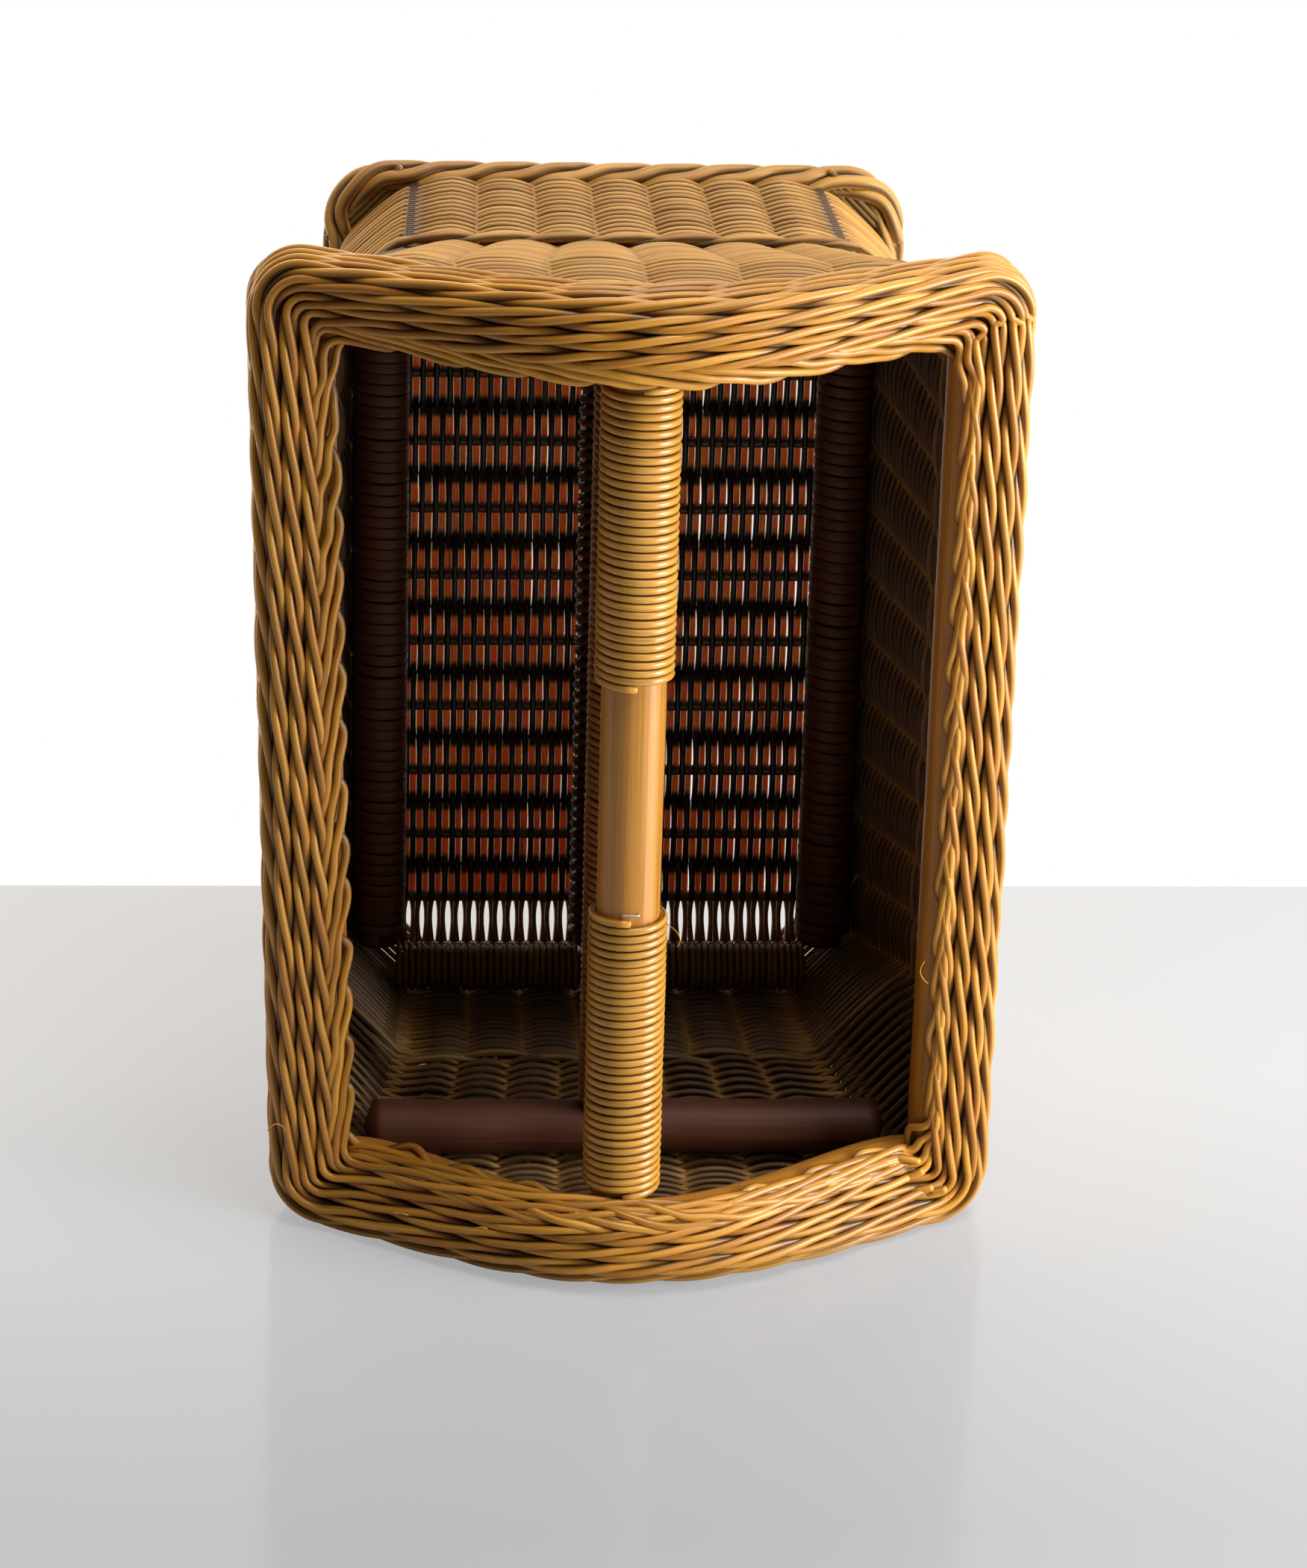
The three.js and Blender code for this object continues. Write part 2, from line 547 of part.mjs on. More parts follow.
function base() {
  const wrapRadius = (radius) => radius + CLEARANCE + BASE_WRAP_THICKNESS;
  const sideRadius = wrapRadius(BASE_POLE_RADIUS);
  const endRadius = wrapRadius(BASE_END_POLE_RADIUS);
  const height = STAKE_HEIGHT + STAKE_RADIUS + CLEARANCE + sideRadius;
  const inside = outline(height - endRadius / 2);
  const sideY = inside.halfWidth - WALL_THICKNESS - CLEARANCE - sideRadius;
  const endX = inside.halfLength - WALL_THICKNESS - 2 * CLEARANCE - endRadius;
  // The sum of X and Y along the inner face of a chamfered corner, which the poles' ends stop short of.
  const corner = corners(height, WALL_THICKNESS)[1];
  const chamfer = corner.x + corner.y - 2 * CLEARANCE;
  const sideWrapEnd = chamfer - sideY - sideRadius;
  const endWrapEnd = chamfer - endX - endRadius;
  const middleWrapEnd = endX - endRadius - CLEARANCE - BASE_POLE_BARE_END;

  // A pole and the sleeve of cane round it, from end to end of the pole.
  const wrappedPole = (name, at, wrapEnd, bareEnd, radius) => {
    const reach = wrapEnd + bareEnd;
    add(name, rod(at(-reach), at(reach), radius), BARE_POLE);
    const wrap = sleeve(at(-wrapEnd), at(wrapEnd), radius + CLEARANCE, wrapRadius(radius));
    add(name + "_wrap", wrap, FLOOR_REED);
  };
  for (const [name, side] of [["left", 1], ["right", -1]]) {
    const at = (x) => point(x, side * sideY, height);
    wrappedPole("base_side_pole_" + name, at, sideWrapEnd, BASE_WRAP_THICKNESS, BASE_POLE_RADIUS);
  }
  const middleAt = (x) => point(x, MIDDLE_OFFSET, height);
  wrappedPole("base_middle_pole", middleAt, middleWrapEnd, BASE_POLE_BARE_END, BASE_POLE_RADIUS);
  for (const [name, side] of [["front", 1], ["rear", -1]]) {
    const at = (y) => point(side * endX, y, height);
    wrappedPole("base_end_pole_" + name, at, endWrapEnd, BASE_WRAP_THICKNESS, BASE_END_POLE_RADIUS);
  }

  // Stakes across the floor, from the inside of the foot border to the other side of it.
  const stakeReach = FOOT_WIDTH / 2 - FOOT_BORDER_WIDTH - CLEARANCE;
  const stakeX = (i) => STAKE_OFFSET + (i - (STAKE_COUNT - 1) / 2) * STAKE_PITCH;
  for (let i = 0; i < STAKE_COUNT; i++) {
    const at = (y) => point(stakeX(i), y, STAKE_HEIGHT);
    const name = "base_stake_" + String(i + 1).padStart(2, "0");
    add(name, rod(at(-stakeReach), at(stakeReach), STAKE_RADIUS, STAKE_SIDES), FLOOR_REED);
  }

  // The weave between the poles: a mat with a round channel for each stake. Its top stops at the wraps.
  const matTop = STAKE_HEIGHT + BASE_WEAVE_THICKNESS / 2;
  const matBottom = matTop - BASE_WEAVE_THICKNESS;
  const beside = (radius) => Math.sqrt(Math.max(radius ** 2 - (height - matTop) ** 2, 0)) + CLEARANCE;
  const matX = endX - beside(endRadius);
  const outerY = sideY - beside(sideRadius);
  const middleY = beside(sideRadius);
  const spans = [["left", MIDDLE_OFFSET + middleY, outerY], ["right", -outerY, MIDDLE_OFFSET - middleY]];
  for (const [name, from, to] of spans) {
    const outer = [[-matX, matBottom], [matX, matBottom], [matX, matTop], [-matX, matTop]];
    const mat = new THREE.Shape(outer.map(([x, z]) => new THREE.Vector2(x, z)));
    for (let i = 0; i < STAKE_COUNT; i++) {
      const channel = new THREE.Path();
      channel.absarc(stakeX(i), STAKE_HEIGHT, STAKE_RADIUS + 2 * CLEARANCE, 0, FULL_TURN, true);
      mat.holes.push(channel);
    }
    const solid = { depth: to - from, bevelEnabled: false, curveSegments: STAKE_SIDES };
    const geometry = new THREE.ExtrudeGeometry(mat, solid);
    geometry.rotateX(FULL_TURN / 4).translate(0, to, 0);
    add("base_weave_" + name, geometry, FLOOR_REED);
  }
}

rimBraid();
rimPoles();
walls();
midBand();
footBorder();
handle();
railAndCrossPoles();
base();

export default basket;
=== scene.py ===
"""Looks of the magazine basket: reed braid, weaves, windings, poles and finishes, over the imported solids."""
import math

import bpy
import numpy as np
from mathutils import Matrix, Vector


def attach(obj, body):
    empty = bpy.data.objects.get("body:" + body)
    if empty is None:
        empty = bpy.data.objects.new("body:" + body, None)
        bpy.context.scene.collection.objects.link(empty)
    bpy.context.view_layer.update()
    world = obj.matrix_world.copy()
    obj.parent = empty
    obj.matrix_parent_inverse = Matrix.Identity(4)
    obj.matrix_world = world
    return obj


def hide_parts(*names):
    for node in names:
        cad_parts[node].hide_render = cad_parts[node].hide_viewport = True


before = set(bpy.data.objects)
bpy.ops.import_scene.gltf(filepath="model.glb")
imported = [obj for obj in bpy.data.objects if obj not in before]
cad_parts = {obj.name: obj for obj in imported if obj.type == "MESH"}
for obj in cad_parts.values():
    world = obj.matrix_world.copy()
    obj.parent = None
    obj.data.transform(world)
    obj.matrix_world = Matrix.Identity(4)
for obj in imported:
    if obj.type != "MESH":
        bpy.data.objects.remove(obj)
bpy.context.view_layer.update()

# Sizes of the basket, in metres
RIM_LENGTH = 0.388
RIM_WIDTH = 0.290
ARCH_RISE = 0.056
ARCH_POWER = 1.5
RIM_LEAN = 0.0075
BRAID_WIDTH = 0.0345
BRAID_CORNER_RADIUS = 0.022
FOOT_LENGTH = 0.368
FOOT_WIDTH = 0.235
FOOT_HEIGHT = 0.014
FOOT_BORDER_WIDTH = 0.0127
FOOT_CORNER_RADIUS = 0.026
MID_HEIGHT = 0.0978
SHOULDER_HEIGHT = 0.1768
WALL_TOP = 0.1998
WALL_MIDDLE = 0.0045

# Poles: radii, and where their middle lines lie
RIM_POLE_RADIUS = 0.0095
RIM_POLE_INSET = 0.0228
ARCH_X = RIM_LENGTH / 2 - RIM_POLE_INSET
SIDE_POLE_Y = RIM_WIDTH / 2 - RIM_POLE_INSET
UPPER_POLE_REACH = 0.1614
HANDLE_RADIUS = 0.01215
HANDLE_HEIGHT = 0.2361
MIDDLE_OFFSET = 0.0028
RAIL_RADIUS = 0.0107
RAIL_HEIGHT = 0.167
CROSS_POLE_RADIUS = 0.0109
CROSS_POLE_X = 0.16781
FLOOR_POLE_RADIUS = 0.0087
FLOOR_POLE_HEIGHT = 0.0252
FLOOR_SIDE_Y = 0.09447
END_POLE_RADIUS = 0.0080
END_POLE_X = 0.15984
SKIN_GAP = 0.0001

# One row per level: height, half length, half width, half of the flat part of an end.
WALL_LEVELS = np.array([
    [0.0140, 0.1808, 0.1143, 0.0845],
    [0.0978, 0.1755, 0.1315, 0.0880],
    [0.1768, 0.1900, 0.1410, 0.1110],
    [0.3000, 0.1900, 0.1410, 0.1110],
])

UP = np.array([0, 0, 1.0])
chance = np.random.default_rng(7)


# Forms shared by all pieces
def spots(x, y, z):
    """Points from three coordinates whose shapes fit together."""
    return np.stack(np.broadcast_arrays(x, y, z), -1)


def leaned(points):
    """Moves points sideways: y loses RIM_LEAN times how high, how far back and how far left they are."""
    high = np.clip((points[..., 2] - MID_HEIGHT) / (SHOULDER_HEIGHT - MID_HEIGHT), 0, 1)
    front_end = RIM_LENGTH / 2 - BRAID_CORNER_RADIUS
    rear = np.clip((front_end - points[..., 0]) / (front_end + RIM_LENGTH / 2), 0, 1)
    left = np.clip(points[..., 1] / (RIM_WIDTH / 2 - BRAID_WIDTH), 0, 1)
    moved = points.copy()
    moved[..., 1] -= RIM_LEAN * high * rear * left
    return moved


def rise(y, inset):
    """Height that an arch adds at y: ARCH_RISE * (1 - (y / half width)^2)^ARCH_POWER."""
    half = RIM_WIDTH / 2 - inset
    return ARCH_RISE * np.clip(1 - (y / half) ** 2, 0, None) ** ARCH_POWER


def unit(vectors):
    """Each vector over its own length."""
    return vectors / np.maximum(np.linalg.norm(vectors, axis=-1, keepdims=True), 1e-12)


def smooth(share):
    """3 s^2 - 2 s^3 of a share held between 0 and 1."""
    held = np.clip(share, 0, 1)
    return held * held * (3 - 2 * held)


def softened(centres):
    """Each point of closed lines averaged with the two beside it, as 1 : 2 : 1."""
    return (np.roll(centres, 1, 1) + 2 * centres + np.roll(centres, -1, 1)) / 4


def wander(strands, steps, size, waves=5, closed=False):
    """A slow random wobble of each strand: a sum of sines, with whole wave counts on a closed strand."""
    along = np.arange(steps) / (steps if closed else steps - 1)
    total = np.zeros((strands, steps))
    for wave in range(1, waves + 1):
        count = wave * 3 if closed else wave * 0.9
        shift = chance.uniform(0, 2 * np.pi, (strands, 1))
        weight = chance.normal(0, 1, (strands, 1)) / math.sqrt(waves)
        total += weight * np.sin(2 * np.pi * count * along[None, :] + shift)
    return size * total


def tubes(centres, radius, facing, sides=8, closed=False, flatness=1.0, square=1.0, painted_shade=0.0, tone=None):
    """Round strands along many centre lines at once.

    A ring of points stands round each centre, across the line's direction:
    centre + radius * (cos a * up + flatness * sin a * side), where up is the facing
    direction made square to the line and side is square to both. A square below 1 is the power that
    cosine and sine are raised to, which flattens the ring's four faces. Open ends get a low cap.
    """
    strands, steps, _ = centres.shape
    if closed:
        ahead = np.roll(centres, -1, 1) - np.roll(centres, 1, 1)
    else:
        ahead = np.gradient(centres, axis=1)
    ahead = unit(ahead)
    facing = np.broadcast_to(facing, centres.shape)
    side = unit(np.cross(ahead, facing))
    up = np.cross(side, ahead)
    radius = np.broadcast_to(np.asarray(radius, float), (strands, steps))[..., None, None]
    angle = 2 * np.pi * np.arange(sides) / sides
    rising = np.sign(np.cos(angle)) * np.abs(np.cos(angle)) ** square
    across = np.sign(np.sin(angle)) * np.abs(np.sin(angle)) ** square
    ring = rising[:, None] * up[:, :, None, :] - flatness * across[:, None] * side[:, :, None, :]
    points = (centres[:, :, None, :] + radius * ring).reshape(-1, 3)
    spans = steps if closed else steps - 1
    strand, step, turn = np.meshgrid(np.arange(strands), np.arange(spans), np.arange(sides), indexing="ij")

    def place(s, t):
        return ((strand * steps + s % steps) * sides + t % sides).ravel()

    quads = np.stack([place(step, turn), place(step, turn + 1),
                      place(step + 1, turn + 1), place(step + 1, turn)], 1)
    gone = np.cumsum(np.linalg.norm(np.diff(centres, axis=1, append=centres[:, :1]), axis=-1), axis=1)
    gone = np.concatenate([np.zeros((strands, 1)), gone], 1)
    first = gone[strand, step].ravel()
    last = gone[strand, step + 1].ravel()
    low = (turn / sides).ravel()
    high = ((turn + 1) / sides).ravel()
    chart = np.stack([first, low, first, high, last, high, last, low], 1).reshape(-1, 4, 2)
    tone = chance.uniform(0, 1, strands) if tone is None else np.broadcast_to(tone, (strands,))
    tones = np.repeat(tone, steps * sides)
    shades = np.repeat(np.broadcast_to(np.asarray(painted_shade, float), (strands, steps)).ravel(), sides)
    caps = np.zeros((0, 3), int)
    if not closed:
        ends = centres[:, [0, -1]]
        out = np.stack([-ahead[:, 0], ahead[:, -1]], 1)
        tips = ends + 0.35 * radius[:, [0, -1], 0] * out
        start = len(points)
        points = np.concatenate([points, tips.reshape(-1, 3)])
        tones = np.concatenate([tones, np.repeat(tone, 2)])
        shades = np.concatenate([shades, np.zeros(2 * strands)])
        s = np.repeat(np.arange(strands), sides)
        t = np.tile(np.arange(sides), strands)
        begin = s * steps * sides
        finish = begin + (steps - 1) * sides
        back = np.stack([start + 2 * s, begin + (t + 1) % sides, begin + t], 1)
        fore = np.stack([start + 2 * s + 1, finish + t, finish + (t + 1) % sides], 1)
        caps = np.concatenate([back, fore])
    return {"points": points, "quads": quads, "chart": chart, "caps": caps, "tones": tones, "shades": shades}


def piece(name, parts, material, nodes):
    """One object made of several sets of strands, put in the mesh with foreach_set."""
    shift = np.cumsum([0] + [len(p["points"]) for p in parts[:-1]])
    points = np.concatenate([p["points"] for p in parts])
    quads = np.concatenate([p["quads"] + s for p, s in zip(parts, shift)])
    caps = np.concatenate([p["caps"] + s for p, s in zip(parts, shift)])
    mesh = bpy.data.meshes.new(name)
    mesh.vertices.add(len(points))
    mesh.vertices.foreach_set("co", points.astype(np.float32).ravel())
    corners = np.concatenate([quads.ravel(), caps.ravel()]).astype(np.int32)
    mesh.loops.add(len(corners))
    mesh.loops.foreach_set("vertex_index", corners)
    sizes = np.concatenate([np.full(len(quads), 4), np.full(len(caps), 3)])
    starts = np.cumsum(sizes) - sizes
    mesh.polygons.add(len(sizes))
    mesh.polygons.foreach_set("loop_start", starts.astype(np.int32))
    mesh.polygons.foreach_set("use_smooth", np.ones(len(sizes), bool))
    chart = np.concatenate([p["chart"].reshape(-1, 2) for p in parts] + [np.zeros((3 * len(caps), 2))])
    mesh.uv_layers.new(name="along").data.foreach_set("uv", chart.astype(np.float32).ravel())
    for label, key in (("tone", "tones"), ("painted_shade", "shades")):
        layer = mesh.attributes.new(label, "FLOAT", "POINT")
        layer.data.foreach_set("value", np.concatenate([p[key] for p in parts]).astype(np.float32))
    mesh.update()
    mesh.validate()
    made = bpy.data.objects.new(name, mesh)
    bpy.context.scene.collection.objects.link(made)
    made.data.materials.append(material)
    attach(made, "root")
    if nodes:
        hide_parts(*nodes)


# Finishes
def tint(colour):
    """A colour written as it shows, from 0 to 255, as the linear colour that Blender takes."""
    shown = np.array(colour) / 255
    linear = np.where(shown <= 0.04045, shown / 12.92, ((shown + 0.055) / 1.055) ** 2.4)
    return (*linear.tolist(), 1)


def node_maker(owner):
    """Clears the node tree of a material or the world, and gives the function that adds a node to it and
    returns its outputs. Each input, by name or place, takes a value or is joined to an output."""
    owner.use_nodes = True
    tree = owner.node_tree
    tree.nodes.clear()

    def node(kind, inputs, **settings):
        new = tree.nodes.new("ShaderNode" + kind)
        for key, value in settings.items():
            setattr(new, key, value)
        for key, value in inputs.items():
            if isinstance(value, bpy.types.NodeSocket):
                tree.links.new(value, new.inputs[key])
            else:
                new.inputs[key].default_value = value
        return new.outputs

    return node


def reed_finish(name, pale, deep, bark_and_shade, gloss=0.42, coat=0.25, streak=0.5, glow=0.0, grain=(26, 5),
                crease=0.8, olive=0.3):
    """Varnished reed: a colour between pale and deep by each strand's tone and by slow and fine grain
    along it, with greener patches and brown flecks of bark. Painted shade darkens it where the strand runs
    deep in the work and in the creases along its two sides; it has its fibres in roughness and bump."""
    made = bpy.data.materials.new(name)
    node = node_maker(made)
    pale, deep, bark_and_shade, green = [tint(colour) for colour in (pale, deep, bark_and_shade, (142, 112, 44))]

    def sums(operation, *values, held=False):
        return node("Math", dict(enumerate(values)), operation=operation, use_clamp=held)[0]

    def mixed(share, first, second):
        return node("Mix", {0: share, 6: first, 7: second}, data_type="RGBA")[2]

    def noise(source, scale, detail):
        return node("TexNoise", {"Vector": source, "Scale": scale, "Detail": detail})["Fac"]

    along = node("UVMap", {}, uv_map="along")[0]
    tone = node("Attribute", {}, attribute_name="tone")["Fac"]
    painted_shade = node("Attribute", {}, attribute_name="painted_shade")["Fac"]
    # The chart is stretched so that fibres are long and thin, and moved by each strand's tone.
    spread = node("Mapping", {"Vector": along, "Scale": (*grain, 1)})[0]
    apart = node("CombineXYZ", {2: sums("MULTIPLY", tone, 173.0)})[0]
    fibres = node("VectorMath", {0: spread, 1: apart}, operation="ADD")[0]
    fibre = noise(fibres, 3.2, 4.0)
    patch = noise(fibres, 0.35, 2.0)
    cloud = noise(node("TexCoord", {})["Object"], 14.0, 2.0)
    mix = sums("MULTIPLY_ADD", tone, 0.42, sums("MULTIPLY", fibre, streak))
    mix = sums("MULTIPLY_ADD", patch, 0.55, mix)
    mix = sums("MULTIPLY_ADD", cloud, 0.3, mix)
    colour = mixed(sums("MULTIPLY_ADD", mix, 1.35, -0.72, held=True), deep, pale)
    # Rare short brown flecks, where bark was left on the reed.
    fleck = sums("MULTIPLY_ADD", noise(fibres, 1.1, 1.0), 9.0, -6.3, held=True)
    colour = mixed(sums("MULTIPLY", fleck, 0.45), colour, bark_and_shade)
    if olive:
        greener = sums("MULTIPLY_ADD", noise(fibres, 0.5, 1.0), 5.0, -2.3, held=True)
        colour = mixed(sums("MULTIPLY", greener, olive), colour, green)
    # Painted shade: each strand is darkened towards the bark-and-shade colour where it runs deep in the work.
    colour = mixed(painted_shade, colour, bark_and_shade)
    if crease:
        # Painted shade in the creases along the strand's two sides. The chart's second value is 0 at the
        # strand's outermost line and a quarter at its sides.
        turned = node("SeparateXYZ", {0: along})[1]
        off_back = sums("ABSOLUTE", sums("SUBTRACT", turned, 0.5))
        off_side = sums("ABSOLUTE", sums("SUBTRACT", off_back, 0.25))
        painted_crease_shade = sums("MULTIPLY_ADD", off_side, -9.0, 1.15, held=True)
        colour = mixed(sums("MULTIPLY", painted_crease_shade, crease), colour, bark_and_shade)
    relief = sums("MULTIPLY_ADD", patch, 0.5, fibre)
    skin = node("BsdfPrincipled", {
        "Base Color": colour,
        "Roughness": sums("MULTIPLY_ADD", fibre, 0.28, gloss - 0.14),
        "Specular IOR Level": 0.45,
        "Coat Weight": coat,
        "Coat Roughness": 0.28,
        "Subsurface Weight": glow,
        "Subsurface Radius": (1.0, 0.42, 0.12),
        "Subsurface Scale": 0.003,
        "Normal": node("Bump", {"Strength": 0.25, "Distance": 0.0004, "Height": relief})[0],
    })
    node("OutputMaterial", {"Surface": skin[0]})
    return made


def steel_finish():
    """Dull steel wire: a grey with fine scratches in roughness and a little rust in the colour."""
    made = bpy.data.materials.new("staple_steel")
    node = node_maker(made)
    speck = node("TexNoise", {"Vector": node("TexCoord", {})["Object"], "Scale": 900})["Fac"]
    rusty, grey = (0.35, 0.31, 0.27, 1), (0.66, 0.64, 0.60, 1)
    colour = node("Mix", {0: speck, 6: rusty, 7: grey}, data_type="RGBA")[2]
    skin = node("BsdfPrincipled", {"Base Color": colour, "Roughness": speck, "Metallic": 1.0})
    node("OutputMaterial", {"Surface": skin[0]})
    return made


RIM_REED = reed_finish("rim_reed", (226, 162, 56), (166, 102, 24), (50, 29, 12), crease=0.6)
WALL_REED = reed_finish("wall_reed", (218, 168, 86), (168, 114, 46), (52, 30, 14), gloss=0.52, coat=0.08,
                        glow=0.06, olive=0.15)
# The floor reed's bright orange colours are painted light: the glow of the light from behind shining through
# the floor.
FLOOR_REED_PAINTED_BACKLIGHT = reed_finish("floor_reed", (255, 212, 112), (255, 184, 80), (40, 21, 9), glow=0.75, olive=0)
# The rail cane's and the pole cane's browns are partly the cane's own and partly painted shade of the basket's
# inside.
RAIL_CANE = reed_finish("rail_cane", (176, 116, 50), (122, 70, 28), (44, 26, 12), coat=0.3, olive=0)
POLE_CANE = reed_finish("pole_cane", (108, 56, 20), (70, 35, 12), (28, 15, 6), gloss=0.55, coat=0.05, olive=0)
HANDLE_CANE = reed_finish("handle_cane", (228, 170, 72), (178, 118, 36), (84, 50, 20), gloss=0.34,
                          coat=0.45, crease=0.9)
BARE_POLE = reed_finish("bare_pole", (196, 132, 44), (110, 64, 18), (56, 32, 12), gloss=0.36, coat=0.35,
                        streak=1.25, grain=(4, 34), crease=0, olive=0.35)
# This pole finish's deep brown is partly the cane's own and partly painted shade of the basket's inside.
DARK_POLE = reed_finish("dark_pole", (78, 35, 6), (38, 17, 4), (20, 10, 4), gloss=0.6, coat=0,
                        streak=1.1, grain=(5, 22), crease=0, olive=0)
STEEL = steel_finish()

# Rim braid
# Steps on the right side, a corner, an end and a corner, and then the other half of the rim
RIM_STEPS = np.array([150, 14, 90, 14] * 2)
SIDE_REPEATS = 14
END_REPEATS = 9
LAP = SIDE_REPEATS * 2 + END_REPEATS * 2 + 4
SMALLEST_BEND = 0.005

# The line on which the middles of the braid's ropes lie, 3.4 mm under its surface, from skirt to crest.
ROPE_LINE = np.array([
    [0.0034, 0.1764], [0.0034, 0.1940], [0.0046, 0.1985], [0.0080, 0.2009], [0.0130, 0.2017],
    [0.0210, 0.2017], [0.0260, 0.2013], [0.0300, 0.2000],
])
ROPES = 7
ROPE_PITCH = 0.0068
ROPE_OUT = 0.00175
ROPE_OVER = 0.00205
ROPE_STRAND = 0.00166
EDGE_STRAND = 0.00172
EDGE_DEPTH = 0.0018

# The line on which the bed under the ropes lies, from skirt to inner edge.
BED_LINE = np.array([
    [0.0072, 0.1750], [0.0072, 0.1930], [0.0090, 0.1966], [0.0140, 0.1980], [0.0215, 0.1980],
    [0.0280, 0.1962], [0.0310, 0.1930],
])
BED_STRANDS = 10
BED_PITCH = 0.0041
BED_STRAND = 0.0023


def rim_walk():
    """Steps clockwise round the rim, seen from above: which of its eight stretches, and the share of it gone.
    The stretches are right side, rear right corner, rear end, rear left corner, left side and so on."""
    stretch = np.repeat(np.arange(8), RIM_STEPS)
    share = np.concatenate([np.arange(n) / n for n in RIM_STEPS])
    return stretch, share


def rim_point(stretch, share, inset, height):
    """A point on a rounded rectangle at that inset: straight stretches between corner centres, quarter
    circles round them. The arch's rise is added to the height, and the point leans with the rim."""
    stretch, share, inset, height = np.broadcast_arrays(stretch, share, inset, height)
    centre_inset = np.maximum(BRAID_CORNER_RADIUS, inset + SMALLEST_BEND)
    bend = centre_inset - inset
    far = RIM_LENGTH / 2 - centre_inset
    wide = RIM_WIDTH / 2 - centre_inset
    swing = np.pi / 2 * share
    here = [stretch % 4 == k for k in range(4)]
    x = np.select(here, [far * (1 - 2 * share), -far - bend * np.sin(swing),
                         -far - bend, -far - bend * np.cos(swing)])
    y = np.select(here, [-wide - bend, -wide - bend * np.cos(swing),
                         -wide * (1 - 2 * share), wide + bend * np.sin(swing)])
    half = np.where(stretch >= 4, -1.0, 1.0)
    return leaned(spots(x * half, y * half, height + rise(y * half, inset)))


def rim_line(stretch, share, inset, height, lift):
    """Points on the rim, and the way out of its surface at each: lift is a small step that way, as a
    change of inset and of height."""
    centres = rim_point(stretch, share, inset, height)
    return centres, rim_point(stretch, share, inset + lift[0], height + lift[1]) - centres


def lap_gone(stretch, share, inset):
    """Repeats of the braid gone at each step: a corner takes fewer for an inner column, the straights
    take the rest."""
    arc = np.pi / 2 * (np.maximum(BRAID_CORNER_RADIUS, inset + SMALLEST_BEND) - inset)
    corner = np.clip(arc / 0.030, 0.4, 1.0)
    straight = (LAP - 4 * corner) / (LAP - 4)
    counts = np.array([SIDE_REPEATS * straight, corner, END_REPEATS * straight, corner] * 2)
    before = np.cumsum(counts) - counts
    return before[stretch] + counts[stretch] * share


def on_section(section, gone):
    """Point, outward normal and direction on a bent line of (inset, height), at a length along it."""
    ends = np.concatenate([[0], np.cumsum(np.linalg.norm(np.diff(section, axis=0), axis=1))])
    before, point, after = [np.array([np.interp(at, ends, column) for column in section.T])
                            for at in (gone - 0.002, gone, gone + 0.002)]
    ahead = unit(after - before)
    return point, np.array([-ahead[1], ahead[0]]), ahead


def rim_ropes():
    """Seven ropes of three strands. A strand stands at the rope's middle + ROPE_OUT cos a outwards
    + ROPE_OVER sin a towards the skirt, where a turns once in three repeats."""
    stretch, share = rim_walk()
    steps = len(stretch)
    sets = []
    for rope in range(ROPES):
        middle, normal, ahead = on_section(ROPE_LINE, 0.0002 + rope * ROPE_PITCH)
        turn = lap_gone(stretch, share, middle[0]) + np.arange(3)[:, None] + 0.11 * rope
        turn = turn + chance.uniform(-0.1, 0.1)
        angle = 2 * np.pi * turn / 3 + wander(3, steps, 0.16, closed=True)
        out = ROPE_OUT * np.cos(angle) + wander(3, steps, 0.00012, closed=True)
        over = -ROPE_OVER * np.sin(angle) + wander(3, steps, 0.00018, closed=True)
        inset = middle[0] + normal[0] * out + ahead[0] * over
        height = middle[1] + normal[1] * out + ahead[1] * over
        centres, facing = rim_line(stretch, share, inset, height, normal * 1e-4)
        thick = ROPE_STRAND * (1 + wander(3, steps, 0.04, closed=True))
        # Painted shade: a strand is darkened where it turns in under the others.
        deep = smooth((0.05 - np.cos(angle)) / 0.9) * 0.8
        sets.append(tubes(centres, thick, facing, closed=True, painted_shade=deep))
    piece("rim_braid_ropes", sets, RIM_REED, ["rim_braid"])


